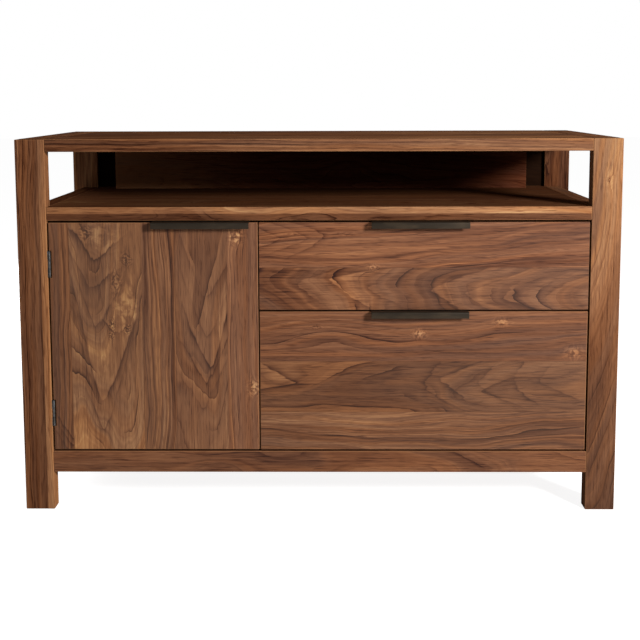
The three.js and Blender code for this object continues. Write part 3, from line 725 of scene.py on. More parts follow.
UPPER_STAVES = [
    Stave(0.452, -0.06, 0.110, -0.20, 0.0080, 29.4, 0.8, -0.03, 0.75, -0.06, 0.006),
    Stave(0.820, 0.080, 0.060, 0.02, 0.0100, 8.6, 0.6, -0.02, 0.95, -0.15, 0.03),
]
UPPER_KNOTS = [
    Knot(0.111, 0.508, 0.014, 0.008, 0.30, 0.006),
    Knot(0.053, 0.576, 0.050, 0.004, -0.24),
    Knot(-0.050, 0.576, 0.022, 0.003, -0.22),
]
UPPER_ARCHES = [
    Arch(0.0306, 0.4841, 1.5, 6.0, 0.004, 0.080, 0.0110, 0.24, 0.15),
    Arch(0.2315, 0.4640, 1.5, 2.9, 0.004, 0.070, 0.0140, 0.34, 0.12),
    Arch(0.3726, 0.4455, 3.0, 1.2, 0.004, 0.040, 0.0060, 0.26, 0.14),
    Arch(0.4630, 0.4570, 0.4, 2.9, 0.006, 0.060, 0.0045, 0.20, 0.04),
    Arch(0.1000, 0.4700, 1.6, 4.0, 0.004, 0.070, 0.0040, 0.14, 0.04),
    Arch(0.3000, 0.4580, 1.6, 3.0, 0.004, 0.070, 0.0040, 0.16, 0.10),
    Arch(0.4100, 0.4540, 1.0, 2.9, 0.006, 0.060, 0.0030, 0.14, 0.04),
    Arch(-0.0400, 0.4760, 1.4, 3.0, 0.006, 0.060, 0.0080, 0.14, 0.10),
    Arch(0.0082, 0.5758, 2.2, 3.5, 0.014, 0.060, 0.0045, 0.28, 0.06, -1.0),
    Arch(-0.0300, 0.5720, 2.6, 3.5, 0.012, 0.045, 0.0040, 0.22, 0.05, -1.0),
    Arch(-0.0835, 0.5678, 3.0, 3.0, 0.010, 0.036, 0.0035, 0.26, 0.06, -1.0),
]
UPPER_CUTS = [0.5075]

LOWER_STAVES = [
    Stave(-0.02, 0.00, 0.050, 0.02, 0.0120, 71.9, 0.75, -0.02, 1.3, 0.02, -0.014),
    Stave(0.264, 0.01, 0.105, -0.05, 0.0090, 14.2, 1.0, -0.04, 0.85, 0.06, -0.024),
    Stave(0.52, 0.02, 0.060, 0.02, 0.0130, 33.6, 0.5, -0.06, 0.6, -0.02, 0.016),
]
LOWER_KNOTS = [
    Knot(0.205, 0.371, 0.018, 0.012, 0.36, 0.008),
    Knot(0.372, 0.396, 0.020, 0.010, 0.32, 0.008),
    Knot(0.520, 0.332, 0.026, 0.016, 0.34, 0.010),
    Knot(0.020, 0.372, 0.100, 0.034, 0.0, 0.022),
    Knot(-0.005, 0.385, 0.016, 0.005, -0.28),
]
LOWER_ARCHES = [
    Arch(-0.0489, 0.2674, 6.0, 1.8, 0.002, 0.055, 0.0045, 0.50, 0.16, -1.0),
    Arch(0.2182, 0.2597, 1.95, 0.9, 0.015, 0.075, 0.0045, 0.32, 0.02),
    Arch(0.2502, 0.2778, 1.2, 2.5, 0.004, 0.060, 0.0045, 0.42, 0.12),
    Arch(0.3997, 0.2674, 1.6, 0.8, 0.020, 0.070, 0.0045, 0.38, 0.02),
    Arch(0.4568, 0.2674, 2.7, 0.9, 0.012, 0.050, 0.0045, 0.30, 0.03),
    Arch(0.3300, 0.2660, 2.2, 1.4, 0.014, 0.070, 0.0030, 0.24, 0.03),
]
LOWER_CUTS = [0.2077, 0.3138]


class CREDENZA_OT_drawer_fronts(Operator):
    """Gives both drawer fronts their glued-up staves, with the arches and knots of each."""

    bl_idname = "credenza.drawer_fronts"
    bl_label = "Drawer fronts"

    def execute(self, context):
        walnut_board("upper_drawer_front", "xzy", -1, UPPER_STAVES, UPPER_CUTS, UPPER_KNOTS, UPPER_ARCHES,
                     edge=FRONT_GAP_SHADE)
        walnut_board("lower_drawer_front", "xzy", -1, LOWER_STAVES, LOWER_CUTS, LOWER_KNOTS, LOWER_ARCHES,
                     edge=FRONT_GAP_SHADE)
        return {"FINISHED"}


# Boards of a drawer box and the axis through each
DRAWER_BOARDS = {"left_side": "x", "right_side": "x", "back": "y", "bottom": "z"}
DRAWER_BOX_ARRIS = 0.0006
PLY_SEED_STEP = 3.1


def make_plywood(name, axis, seed):
    """Birch plywood: faint grain on its faces, layers across its edges, seen by the face's normal."""
    wood = bpy.context.scene.credenza_wood
    material, w, shader = new_material(name)
    spot, facing = w.coordinates()
    stretch = (90.0, 6.0, 90.0) if axis == "x" else (6.0, 90.0, 90.0)
    shift = (seed, seed * 0.7, seed * 1.3)
    grain = w.noise(spot, stretch, shift, 3.0)
    cloud = w.noise(spot, tuple(part * 0.08 for part in stretch), shift)
    dark = grain.step(0.45, 0.75, 0.0, 0.22) + cloud.step(0.35, 0.75, 0.0, 0.18)
    layer = w.math("PINGPONG", spot.parts()[AXIS[axis]], wood.ply_layer)
    bright = layer.step(wood.ply_layer * 0.35, wood.ply_layer * 0.65)
    on_face = abs(facing).parts()[AXIS[axis]].step(0.45, 0.6)
    tint = w.mix(on_face, w.mix(bright, wood.ply_core, wood.ply_face),
                 w.mix(dark, wood.ply_face, wood.ply_core))
    roughness = grain.step(0.3, 0.8, 0.42, 0.6)
    set_surface(w, shader, tint, roughness, (grain, 0.2, 0.0003), specular=0.3)
    return material


class CREDENZA_OT_drawer_boxes(Operator):
    """Gives the drawer boxes birch plywood with layered edges."""

    bl_idname = "credenza.drawer_boxes"
    bl_label = "Drawer boxes"

    def execute(self, context):
        boards = [(f"{drawer}_drawer_{board}", axis)
                  for drawer in ("upper", "lower") for board, axis in DRAWER_BOARDS.items()]
        for count, (node, axis) in enumerate(boards):
            material = make_plywood(f"plywood {node.replace('_', ' ')}", axis, PLY_SEED_STEP * count)
            dress(node, material, DRAWER_BOX_ARRIS)
        return {"FINISHED"}


# Metal and plastic


def bronze(w, shader, look):
    """Dark oiled bronze, worn a little along its edges."""
    place, _ = w.coordinates()
    cloud = w.noise(place, (22.0, 60.0, 60.0), (1.0, 2.0, 3.0), 4.0)
    speck = w.noise(place, (700.0, 700.0, 700.0), (4.0, 1.0, 2.0))
    bare = w.signal("ShaderNodeNewGeometry", "Pointiness")
    worn = cloud.step(0.45, 0.75, 0.0, 0.5) + bare.step(0.51, 0.56, 0.0, 0.35)
    roughness = cloud.step(0.3, 0.7, 0.40, 0.54) + speck.swing(0.10)
    set_surface(w, shader, w.mix(worn, look.bronze, look.bronze_worn), roughness,
                (speck, 0.15, 0.0002), metallic=0.55, specular=0.2)


def nickel(w, shader, look):
    """Satin nickel, darkened by painted shade, with fine scratches along its length."""
    place, _ = w.coordinates()
    scratch = w.noise(place, (1800.0, 1800.0, 90.0))
    dull = w.noise(place, (120.0, 120.0, 120.0), (3.0, 1.0, 2.0), 3.0).step(0.35, 0.75, 0.0, 0.3)
    set_surface(w, shader, w.mix(dull, look.nickel, look.zinc_dull), scratch.step(0.3, 0.7, 0.24, 0.40),
                (scratch, 0.1, 0.0001), metallic=1.0)


def zinc(w, shader, look):
    """Zinc-plated steel with faint crystals and roll marks."""
    place, _ = w.coordinates()
    crystal = w.signal("ShaderNodeTexVoronoi", "Color", {"Vector": place, "Scale": 260.0})
    dull = crystal.parts()[0].step(0.0, 1.0, 0.0, 0.6)
    rolled = w.noise(place, (900.0, 12.0, 900.0))
    set_surface(w, shader, w.mix(dull, look.zinc, look.zinc_dull), rolled.step(0.3, 0.7, 0.30, 0.42),
                (rolled, 0.08, 0.0001), metallic=1.0)


def plastic(w, shader, look):
    """Moulded brown plastic with a fine spark texture."""
    place, _ = w.coordinates()
    spark = w.noise(place, (1400.0, 1400.0, 1400.0))
    cloud = w.noise(place, (60.0, 60.0, 60.0)).step(0.3, 0.8, 0.0, 0.5)
    paler = tuple(min(1.0, 1.6 * part) for part in look.plastic)
    set_surface(w, shader, w.mix(cloud, look.plastic, paler), spark.step(0.3, 0.7, 0.42, 0.58),
                (spark, 0.2, 0.0001))


# Name and maker of the material in each slot of the record
FINISHES = {"bronze": ("oiled bronze", bronze), "nickel": ("satin nickel", nickel),
            "zinc": ("plated zinc", zinc), "plastic": ("moulded plastic", plastic)}


def finish(slot):
    """The material of a record slot, made when it is first asked for."""
    name, make = FINISHES[slot]
    if name not in bpy.data.materials:
        _, w, shader = new_material(name)
        make(w, shader, bpy.context.scene.credenza_hardware)
    return bpy.data.materials[name]


# Surfaces

SHARP_ANGLE = math.radians(35.0)
SCREW_FOOT = 0.0004


def grid_faces(rows, columns, wrap_columns=False):
    """Quads between neighbouring points of a rows by columns grid, closed round where asked."""
    row = np.arange(rows - 1)
    column = np.arange(columns if wrap_columns else columns - 1)
    row, column = np.meshgrid(row, column, indexing="ij")
    next_column = (column + 1) % columns
    corners = [row * columns + column, row * columns + next_column,
               (row + 1) * columns + next_column, (row + 1) * columns + column]
    return np.stack(corners, -1).reshape(-1, 4)


def tube(points):
    """A closed skin over rings of points (rings, points of a ring, 3), capped at both ends."""
    rings, around = points.shape[:2]
    faces = grid_faces(rings, around, wrap_columns=True).tolist()
    faces.append(list(range(around))[::-1])
    faces.append(list(range((rings - 1) * around, rings * around)))
    return points.reshape(-1, 3), faces


def add_piece(name, shells, slot, body, stands_for=()):
    """One mesh object made of closed shells, riding on a body."""
    vertices, faces, first = [], [], 0
    for points, shell_faces in shells:
        vertices.append(points)
        faces.extend([[first + corner for corner in face] for face in shell_faces])
        first += len(points)
    mesh = bpy.data.meshes.new(name)
    mesh.from_pydata(np.concatenate(vertices).tolist(), [], faces)
    work = bmesh.new()
    work.from_mesh(mesh)
    bmesh.ops.recalc_face_normals(work, faces=work.faces)
    work.to_mesh(mesh)
    work.free()
    mesh.polygons.foreach_set("use_smooth", np.ones(len(mesh.polygons), bool))
    mesh.set_sharp_from_angle(angle=SHARP_ANGLE)
    mesh.materials.append(finish(slot))
    piece = bpy.data.objects.new(name, mesh)
    bpy.context.scene.collection.objects.link(piece)
    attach(piece, body)
    if stands_for:
        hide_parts(*stands_for)


def square_axes(axis):
    """An axis as an array, and two directions square to it and to each other."""
    along = np.asarray(axis, float)
    side = np.cross(along, UP if abs(along[2]) < 0.5 else RIGHT)
    side /= np.linalg.norm(side)
    return along, side, np.cross(along, side)


def turned(profile, centre_point, axis, steps=40):
    """A profile of (radius, height) points turned about an axis through centre_point."""
    profile = np.asarray(profile, float)
    angle = np.linspace(0.0, 2.0 * np.pi, steps, endpoint=False)
    along, side, other = square_axes(axis)
    ring = np.cos(angle)[:, None] * side + np.sin(angle)[:, None] * other
    points = profile[:, 0, None, None] * ring[None] + profile[:, 1, None, None] * along
    return tube(points + np.asarray(centre_point, float))


def screw_head(centre_point, axis, radius, height, countersunk=False):
    """A screw head with a cross recess, as a height over a disc.

    The height is a dome h*(1.02 - (r/R)^2)^0.5, at most h, or flat where the head is countersunk, less
    a recess that is deep where |x| or |y| is small near the middle.
    """
    share = np.linspace(0.02, 1.0, 15)
    angle = np.linspace(0.0, 2.0 * np.pi, 40, endpoint=False)
    share, angle = np.meshgrid(share, angle, indexing="ij")
    x, y = share * np.cos(angle), share * np.sin(angle)
    arm = np.clip((0.20 - np.minimum(abs(x), abs(y))) / 0.12, 0.0, 1.0)
    reach = np.clip((0.66 - np.maximum(abs(x), abs(y))) / 0.16, 0.0, 1.0)
    dome = np.full_like(share, 1.0) if countersunk else np.sqrt(np.clip(1.02 - share ** 2, 0.0, 1.0))
    level = height * (dome - 0.75 * arm * reach)
    if countersunk:
        level = np.where(share > 0.93, height * 0.8, level)
    along, side, other = square_axes(axis)
    skin = (radius * x)[..., None] * side + (radius * y)[..., None] * other + level[..., None] * along
    foot = skin[-1:] - (level[-1:, :, None] + SCREW_FOOT) * along
    return tube(np.concatenate([skin, foot]) + np.asarray(centre_point, float))


def rounded_outline(width, height, radius, steps):
    """Points round a rectangle with rounded corners, centred on zero, one row for each quarter turn."""
    angle = np.radians(np.arange(4)[:, None] * 90.0 + np.linspace(0.0, 90.0, steps))
    x = (width / 2.0 - radius) * np.array([[1.0], [-1.0], [-1.0], [1.0]]) + radius * np.cos(angle)
    y = (height / 2.0 - radius) * np.array([[1.0], [1.0], [-1.0], [-1.0]]) + radius * np.sin(angle)
    return np.stack([x, y], -1).reshape(-1, 2)


def plate(size, corner, origin, across, up, thickness, ease, steps=6):
    """A flat plate: a rounded outline carried through a thickness, drawn in at both faces by the ease."""
    outline = rounded_outline(*size, corner, steps)
    across, up = np.asarray(across, float), np.asarray(up, float)
    through = np.cross(across, up)
    reach = np.abs(outline).max(0)
    rings = []
    for inset, depth in ((ease, 0.0), (0.0, ease), (0.0, thickness - ease), (ease, thickness)):
        flat = outline * (1.0 - inset / reach)
        rings.append(flat[:, :1] * across + flat[:, 1:] * up + depth * through)
    return tube(np.stack(rings) + np.asarray(origin, float))


# Pulls

PULLS = {"door_pull": "door", "upper_drawer_pull": "upper_drawer", "lower_drawer_pull": "lower_drawer"}
PULL_PLATE = 0.002
PULL_BEND = 0.002
PULL_LIP = 0.01325
PULL_CORNER = 0.0005
PULL_FOOT = 0.0004
PULL_FOOT_SHARE = 0.6
PULL_SCREW_INSET = 0.022
PULL_SCREW_RISE = 0.0085
PULL_SCREW_HEIGHT = 0.0018
BEND_STEPS = 10


def bend(centre_y, centre_z, start, end):
    """Points of a quarter bend of the plate's middle line."""
    angle = np.radians(np.linspace(start, end, BEND_STEPS))
    return np.stack([centre_y + PULL_BEND * np.cos(angle), centre_z + PULL_BEND * np.sin(angle)], -1)


def bent_plate(low, high):
    """A strip with rounded edges carried along the middle line of lip, web and back flange.

    The middle line runs up the lip, round a quarter bend, along the web, round a second bend and
    down the flange. The strip's section is its width by its thickness, as an outline whose corners
    are rounded, and it is drawn in at the lip's foot and at the flange's foot.
    """
    half = PULL_PLATE / 2.0
    lip, flange, top = low.y + half, high.y - half, high.z - half
    path = np.concatenate([
        [(lip, high.z - PULL_LIP), (lip, high.z - PULL_LIP + PULL_FOOT)],
        bend(lip + PULL_BEND, top - PULL_BEND, 180.0, 90.0),
        bend(flange - PULL_BEND, top - PULL_BEND, 90.0, 0.0),
        [(flange, low.z + PULL_FOOT), (flange, low.z)]])
    run = np.gradient(path, axis=0)
    run /= np.linalg.norm(run, axis=1, keepdims=True)
    normal = np.stack([-run[:, 1], run[:, 0]], -1)
    section = rounded_outline(high.x - low.x, PULL_PLATE, PULL_CORNER, 5)
    draw = np.ones(len(path))
    draw[[0, -1]] = PULL_FOOT_SHARE
    x = np.broadcast_to(section[:, 0] + (low.x + high.x) / 2.0, (len(path), len(section)))
    offset = draw[:, None] * section[:, 1]
    y = path[:, :1] + normal[:, :1] * offset
    z = path[:, 1:] + normal[:, 1:] * offset
    return tube(np.stack([x, y, z], -1))


class CREDENZA_OT_pulls(Operator):
    """Replaces the three pulls by bent bronze plates with eased edges, and adds their screws."""

    bl_idname = "credenza.pulls"
    bl_label = "Pulls"

    def execute(self, context):
        radius = context.scene.credenza_hardware.screw_radius
        for node, body in PULLS.items():
            low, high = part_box(node)
            add_piece(f"{node}_plate", [bent_plate(low, high)], "bronze", body, [node])
            places = np.linspace(low.x + PULL_SCREW_INSET, high.x - PULL_SCREW_INSET, 3)
            heads = [screw_head((x, high.y, low.z + PULL_SCREW_RISE), REAR, radius, PULL_SCREW_HEIGHT)
                     for x in places]
            add_piece(f"{node}_screws", heads, "zinc", body)
        return {"FINISHED"}


# Hinges

HINGE_X = centre("upper_hinge_pin", "x")
KNUCKLE_RADIUS = 0.0020
KNUCKLE_RIM = 0.0004
PIN_RADIUS = 0.0011
PIN_TIP_RADIUS = 0.0003
PIN_TIP = 0.0002
LEAF_DEPTH = 0.018
LEAF_HEIGHT = 0.054
LEAF_THICKNESS = 0.0015
LEAF_CORNER = 0.0004
LEAF_EASE = 0.0002
LEAF_SETBACK = 0.0035
LEAF_GAP = 0.0002
LEAF_SCREW_DEPTH = 0.0115
LEAF_SCREW_SPACING = 0.019
SUNK_SCREW = (0.0026, 0.0004, True)
SUNK_DEPTH = 0.0002


def knuckle(low_z, high_z):
    """A turned knuckle with eased rims."""
    half, rim = (high_z - low_z) / 2.0, KNUCKLE_RIM
    profile = [(PIN_RADIUS, -half), (KNUCKLE_RADIUS - rim, -half), (KNUCKLE_RADIUS, -half + rim),
               (KNUCKLE_RADIUS, half - rim), (KNUCKLE_RADIUS - rim, half), (PIN_RADIUS, half)]
    return turned(profile, (HINGE_X, FRONT_Y, (low_z + high_z) / 2.0), UP)


def leaf(x, way, low_z, high_z, setback):
    """The flat of a leaf over one band of its height, from a setback behind the front."""
    depth = LEAF_DEPTH - setback
    origin = (x, FRONT_Y + setback + depth / 2.0, (low_z + high_z) / 2.0)
    return plate((depth, high_z - low_z), LEAF_CORNER, origin, (0.0, way, 0.0), UP, LEAF_THICKNESS,
                 LEAF_EASE, steps=3)


class CREDENZA_OT_hinges(Operator):
    """Replaces the butt hinges by turned knuckles, eased leaves, domed pins and countersunk screws."""

    bl_idname = "credenza.hinges"
    bl_label = "Hinges"

    def execute(self, context):
        for place in ("upper", "lower"):
            self.hinge(f"{place}_hinge", centre(f"{place}_hinge_pin", "z"))
        return {"FINISHED"}

    def hinge(self, name, middle):
        """Each leaf has its own knuckles, and is set back behind those of the other leaf."""
        half, sixth = LEAF_HEIGHT / 2.0, LEAF_HEIGHT / 6.0
        ends = [(middle - half, middle - sixth - LEAF_GAP), (middle + sixth + LEAF_GAP, middle + half)]
        core = [(middle - sixth + LEAF_GAP, middle + sixth - LEAF_GAP)]
        leg_x, door_x = span(f"{name}_leg_leaf", "x")[0], span("door_panel", "x")[0]
        for side, body, x, way, own, others in (
                ("leg", "case", leg_x, 1.0, ends, [(middle - sixth, middle + sixth)]),
                ("door", "door", door_x, -1.0, core, ends)):
            shells = [knuckle(*band) for band in own]
            shells += [leaf(x, way, *band, 0.0) for band in own]
            shells += [leaf(x, way, *band, LEAF_SETBACK) for band in others]
            screw_x, screw_y = x + way * (LEAF_THICKNESS - SUNK_DEPTH), FRONT_Y + LEAF_SCREW_DEPTH
            shells += [screw_head((screw_x, screw_y, middle + rise), (way, 0.0, 0.0), *SUNK_SCREW)
                       for rise in (-LEAF_SCREW_SPACING, 0.0, LEAF_SCREW_SPACING)]
            add_piece(f"{name}_{side}_leaf_turned", shells, "nickel", body, [f"{name}_{side}_leaf"])
        profile = [(PIN_TIP_RADIUS, -half), (PIN_RADIUS, -half + PIN_TIP), (PIN_RADIUS, half - PIN_TIP),
                   (PIN_TIP_RADIUS, half)]
        pin = turned(profile, (HINGE_X, FRONT_Y, middle), UP, 24)
        add_piece(f"{name}_pin_turned", [pin], "nickel", "case", [f"{name}_pin"])


# Slides

SLIDE_SHEET = 0.00125
SLIDE_ARRIS = 0.0003
FILE_RAIL_ARRIS = 0.0005
CAGE_SIZE = (0.084, 0.0034)
CAGE_CORNER = 0.001
CAGE_START = 0.012
CAGE_SHEET = 0.0006
CAGE_EASE = 0.0001
BALLS_IN_CAGE = 7
BALL_REACH = 0.44
BALL_PLAY = 0.00003
SLIDE_SCREW = (0.0034, 0.0015)
SLIDE_SCREW_SHARES = (0.07, 0.47, 0.92)


def ball(centre_point, radius):
    """A small steel ball: a half circle turned about an upright axis."""
    angle = np.linspace(0.08 * np.pi, 0.92 * np.pi, 6)
    profile = radius * np.stack([np.sin(angle), -np.cos(angle)], -1)
    return turned(profile, centre_point, UP, 10)


def ball_cage(wide, narrow):
    """Strips of balls between the flanges of two slide members, near their front ends."""
    x = (max(wide[0].x, narrow[0].x) + min(wide[1].x, narrow[1].x)) / 2.0
    y = wide[0].y + CAGE_START + CAGE_SIZE[0] / 2.0
    shells = []
    for edge, out in ((0, -1.0), (1, 1.0)):
        flange = wide[edge].z - out * SLIDE_SHEET
        z, radius = (flange + narrow[edge].z) / 2.0, abs(flange - narrow[edge].z) / 2.0 - BALL_PLAY
        shells.append(plate(CAGE_SIZE, CAGE_CORNER, (x, y, z + CAGE_SHEET / 2.0), REAR, RIGHT,
                            CAGE_SHEET, CAGE_EASE))
        places = y + np.linspace(-BALL_REACH, BALL_REACH, BALLS_IN_CAGE) * CAGE_SIZE[0]
        shells.extend(ball((x, place, z), radius) for place in places)
    return shells


class CREDENZA_OT_slides(Operator):
    """Gives slides and file rails plated zinc, and adds the slides' balls, cages and screws."""

    bl_idname = "credenza.slides"
    bl_label = "Drawer slides"

    def execute(self, context):
        for drawer in ("upper", "lower"):
            for side, out in (("left", -1.0), ("right", 1.0)):
                self.slide(f"{drawer}_{side}_slide", drawer, out)
        for place in ("front", "rear"):
            dress(f"lower_drawer_{place}_file_rail", finish("zinc"), FILE_RAIL_ARRIS)
        return {"FINISHED"}

    def slide(self, name, drawer, out):
        """One slide: three members, a cage of balls between each two, and the inner one's screws."""
        members = ("outer", "middle", "inner")
        for member in members:
            dress(f"{name}_{member}", finish("zinc"), SLIDE_ARRIS)
        outer, middle, inner = (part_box(f"{name}_{member}") for member in members)
        add_piece(f"{name}_outer_balls", ball_cage(outer, middle), "zinc", "case")
        add_piece(f"{name}_middle_balls", ball_cage(middle, inner), "zinc", f"{drawer}_slide_middles")
        web = (inner[1].x if out < 0 else inner[0].x) + out * SLIDE_SHEET
        z = (inner[0].z + inner[1].z) / 2.0
        places = inner[0].y + np.array(SLIDE_SCREW_SHARES) * (inner[1].y - inner[0].y)
        heads = [screw_head((web, y, z), (out, 0.0, 0.0), *SLIDE_SCREW) for y in places]
        add_piece(f"{name}_screws", heads, "zinc", f"{drawer}_drawer")


# Fittings

# A shelf pin's radius and height, from its tip in the hole to its tip under the shelf
PIN_PROFILE = [
    (0.0020, -0.0100), (0.0025, -0.0095), (0.0025, 0.0), (0.0041, 0.0), (0.0045, 0.0004),
    (0.0045, 0.0011), (0.0041, 0.0015), (0.0025, 0.0015), (0.0025, 0.0073), (0.0022, 0.0078),
    (0.0015, 0.0080)]
PIN_FACE = 0.010
CATCH_LIP = 0.0008
CATCH_CORNER = 0.0022
CATCH_EASE = 0.0007
INSERT_EASE = 0.0002

# Size, corner, thickness and setback of the catch's magnet and of its steel plates
MAGNET = ((0.0042, 0.030), 0.0004, 0.0026, 0.003)
STEEL = ((0.0012, 0.034), 0.0003, 0.004, 0.004)
STEEL_OFFSET = 0.0029
CATCH_SCREW = (0.0030, 0.0012)
CATCH_SCREW_RISE = 0.015
STRIKE_CORNER = 0.0025
STRIKE_EASE = 0.0003
STRIKE_SCREW_RISE = 0.012


class CREDENZA_OT_fittings(Operator):
    """Replaces the shelf pins by turned ones, and the door's catch and strike by eased ones."""

    bl_idname = "credenza.fittings"
    bl_label = "Shelf pins and catch"

    def execute(self, context):
        for place in ("front", "rear"):
            for side, out in (("left", 1.0), ("right", -1.0)):
                node = f"{place}_{side}_shelf_pin"
                low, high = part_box(node)
                face = low.x + PIN_FACE if out > 0 else high.x - PIN_FACE
                _, y, z = (low + high) / 2.0
                pin = turned(PIN_PROFILE, (face, y, z), (out, 0.0, 0.0), 32)
                add_piece(f"{node}_turned", [pin], "nickel", "case", [node])
        self.catch()
        self.strike()
        return {"FINISHED"}

    def catch(self):
        """A moulded body that holds two steel plates and a magnet, screwed to the partition."""
        low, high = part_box("door_catch")
        x, y, z = (low + high) / 2.0

        def insert(offset, size, corner, thickness, setback):
            """A strip whose rear is set back from the catch's front, at an offset from its middle."""
            return plate(size, corner, (x + offset, low.y + setback, z), RIGHT, UP, thickness, INSERT_EASE)

        body = plate((high.x - low.x, high.z - low.z), CATCH_CORNER, (x, high.y, z), RIGHT, UP,
                     high.y - low.y - CATCH_LIP, CATCH_EASE)
        add_piece("door_catch_body", [body, insert(0.0, *MAGNET)], "plastic", "case", ["door_catch"])
        steel = [insert(offset, *STEEL) for offset in (-STEEL_OFFSET, STEEL_OFFSET)]
        steel += [screw_head((low.x, y, z + rise), LEFT, *CATCH_SCREW)
                  for rise in (-CATCH_SCREW_RISE, CATCH_SCREW_RISE)]
        add_piece("door_catch_plates", steel, "zinc", "case")

    def strike(self):
        """A steel plate with rounded corners, held to the door by two countersunk screws."""
        low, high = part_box("door_strike")
        x, _, z = (low + high) / 2.0
        shells = [plate((high.x - low.x, high.z - low.z), STRIKE_CORNER, (x, low.y, z), LEFT, UP,
                        high.y - low.y, STRIKE_EASE)]
        shells += [screw_head((x, high.y - SUNK_DEPTH, z + rise), REAR, *SUNK_SCREW)
                   for rise in (-STRIKE_SCREW_RISE, STRIKE_SCREW_RISE)]
        add_piece("door_strike_plate", shells, "zinc", "door", ["door_strike"])


# Stage

LIGHT_TARGET = Vector((0.0, 0.0, 0.40))
FLOOR_REACH = 20.0
FLOOR_POINTS = 9
FLOOR_DROP = 0.0005


def soft_light(name, power, azimuth, elevation, distance, size):
    """A square light that faces the target, turned from the front to the right and raised."""
    turn, rise = math.radians(azimuth), math.radians(elevation)
    way = Vector((math.sin(turn) * math.cos(rise), -math.cos(turn) * math.cos(rise), math.sin(rise)))
    light = bpy.data.lights.new(name, "AREA")
    light.shape = "SQUARE"
    light.size = size
    light.energy = power
    lamp = bpy.data.objects.new(name, light)
    lamp.location = LIGHT_TARGET + distance * way
    lamp.rotation_euler = (-way).to_track_quat("-Z", "Y").to_euler()
    bpy.context.scene.collection.objects.link(lamp)


def seen_directly(w):
    """1 for rays from the camera, mirror rays and rays through glass, and 0 for the rest."""
    path = w.add("ShaderNodeLightPath").outputs
    camera, mirror, glass = (
        Signal(w, path[f"Is {ray} Ray"]) for ray in ("Camera", "Glossy", "Transmission"))
    return w.math("MAXIMUM", w.math("MAXIMUM", camera, mirror), glass)


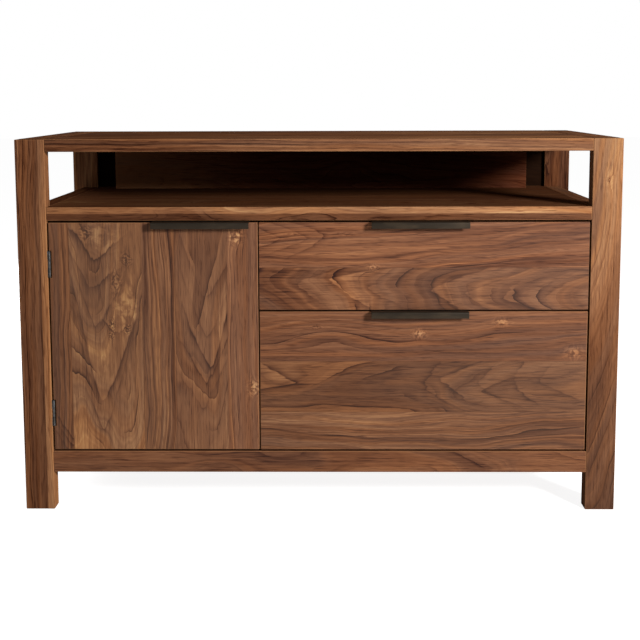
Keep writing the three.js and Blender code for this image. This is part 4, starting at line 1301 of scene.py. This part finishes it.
class CREDENZA_OT_stage(Operator):
    """Makes the pale floor, the white surroundings, the soft lights and the camera."""

    bl_idname = "credenza.stage"
    bl_label = "Stage"

    def execute(self, context):
        look = context.scene.credenza_stage
        self.floor(look)
        self.surroundings(context.scene, look)
        soft_light("key light", look.key_power, azimuth=40.0, elevation=20.0, distance=3.2, size=0.55)
        soft_light("rear light", look.rear_power, azimuth=-150.0, elevation=14.0, distance=3.4, size=1.6)
        lens = bpy.data.cameras.new("camera")
        lens.lens = look.lens
        lens.shift_y = look.rise
        camera = bpy.data.objects.new("camera", lens)
        camera.location = look.camera_place
        pitch, roll, yaw = look.camera_turn
        turn = (Euler((0.0, 0.0, yaw)).to_matrix() @ Euler((pitch, 0.0, 0.0)).to_matrix()
                @ Euler((0.0, 0.0, roll)).to_matrix())
        camera.rotation_euler = turn.to_euler()
        context.scene.collection.objects.link(camera)
        context.scene.camera = camera
        context.scene.view_settings.view_transform = "Standard"
        return {"FINISHED"}

    def floor(self, look):
        """A level sheet under the feet: x and y from -reach to reach, z a hair below zero."""
        side = np.linspace(-FLOOR_REACH, FLOOR_REACH, FLOOR_POINTS)
        x, y = np.meshgrid(side, side, indexing="ij")
        points = np.stack([x, y, np.full_like(x, -FLOOR_DROP)], -1).reshape(-1, 3)
        mesh = bpy.data.meshes.new("floor")
        mesh.from_pydata(points.tolist(), [], grid_faces(FLOOR_POINTS, FLOOR_POINTS)[:, ::-1].tolist())
        material, w, shader = new_material("pale floor")
        place, _ = w.coordinates()
        paler = tuple(min(1.0, part * 1.04) for part in look.floor)
        cloud = w.noise(place, (3.0, 3.0, 3.0), detail=3.0)
        w.join(shader.inputs["Base Color"], w.mix(cloud, look.floor, paler))
        w.join(shader.inputs["Roughness"], 0.9)
        w.join(shader.inputs["Specular IOR Level"], 0.0)
        w.join(shader.inputs["Emission Color"], WHITE)
        w.join(shader.inputs["Emission Strength"], seen_directly(w) * look.floor_glow)
        mesh.materials.append(material)
        floor = bpy.data.objects.new("floor", mesh)
        bpy.context.scene.collection.objects.link(floor)

    def surroundings(self, scene, look):
        """White where it is seen directly, and a soft even light for everything else."""
        world = bpy.data.worlds.new("surroundings")
        world.use_nodes = True
        w = Wiring(world.node_tree)
        back = next(node for node in world.node_tree.nodes if node.type == "BACKGROUND")
        w.join(back.inputs["Color"], WHITE)
        w.join(back.inputs["Strength"], w.signal(
            "ShaderNodeMix", 0, {0: seen_directly(w), 2: look.room_level, 3: 1.0}, data_type="FLOAT"))
        scene.world = world


LOOKS = {"credenza_wood": WoodLook, "credenza_hardware": HardwareLook, "credenza_stage": StageLook}
OPERATORS = (
    CREDENZA_OT_stage, CREDENZA_OT_case, CREDENZA_OT_door, CREDENZA_OT_drawer_fronts,
    CREDENZA_OT_drawer_boxes, CREDENZA_OT_pulls, CREDENZA_OT_hinges, CREDENZA_OT_slides,
    CREDENZA_OT_fittings)


class CREDENZA_PT_sidebar(Panel):
    """Lists the credenza's pieces in the sidebar."""

    bl_idname = "CREDENZA_PT_sidebar"
    bl_label = "Credenza"
    bl_space_type = "VIEW_3D"
    bl_region_type = "UI"
    bl_category = "Credenza"

    def draw(self, context):
        for operator in OPERATORS:
            self.layout.operator(operator.bl_idname)
        for scene_name, look in LOOKS.items():
            column = self.layout.column()
            for name in look.__annotations__:
                column.prop(getattr(context.scene, scene_name), name)


CLASSES = (*LOOKS.values(), *OPERATORS, CREDENZA_PT_sidebar)


def register():
    for item in CLASSES:
        bpy.utils.register_class(item)
    for name, look in LOOKS.items():
        setattr(bpy.types.Scene, name, PointerProperty(type=look))


def unregister():
    for name in LOOKS:
        delattr(bpy.types.Scene, name)
    for item in reversed(CLASSES):
        bpy.utils.unregister_class(item)


def main():
    register()
    bpy.ops.credenza.stage()
    bpy.ops.credenza.case()
    bpy.ops.credenza.door()
    bpy.ops.credenza.drawer_fronts()
    bpy.ops.credenza.drawer_boxes()
    bpy.ops.credenza.pulls()
    bpy.ops.credenza.hinges()
    bpy.ops.credenza.slides()
    bpy.ops.credenza.fittings()


if __name__ == "__main__":
    main()
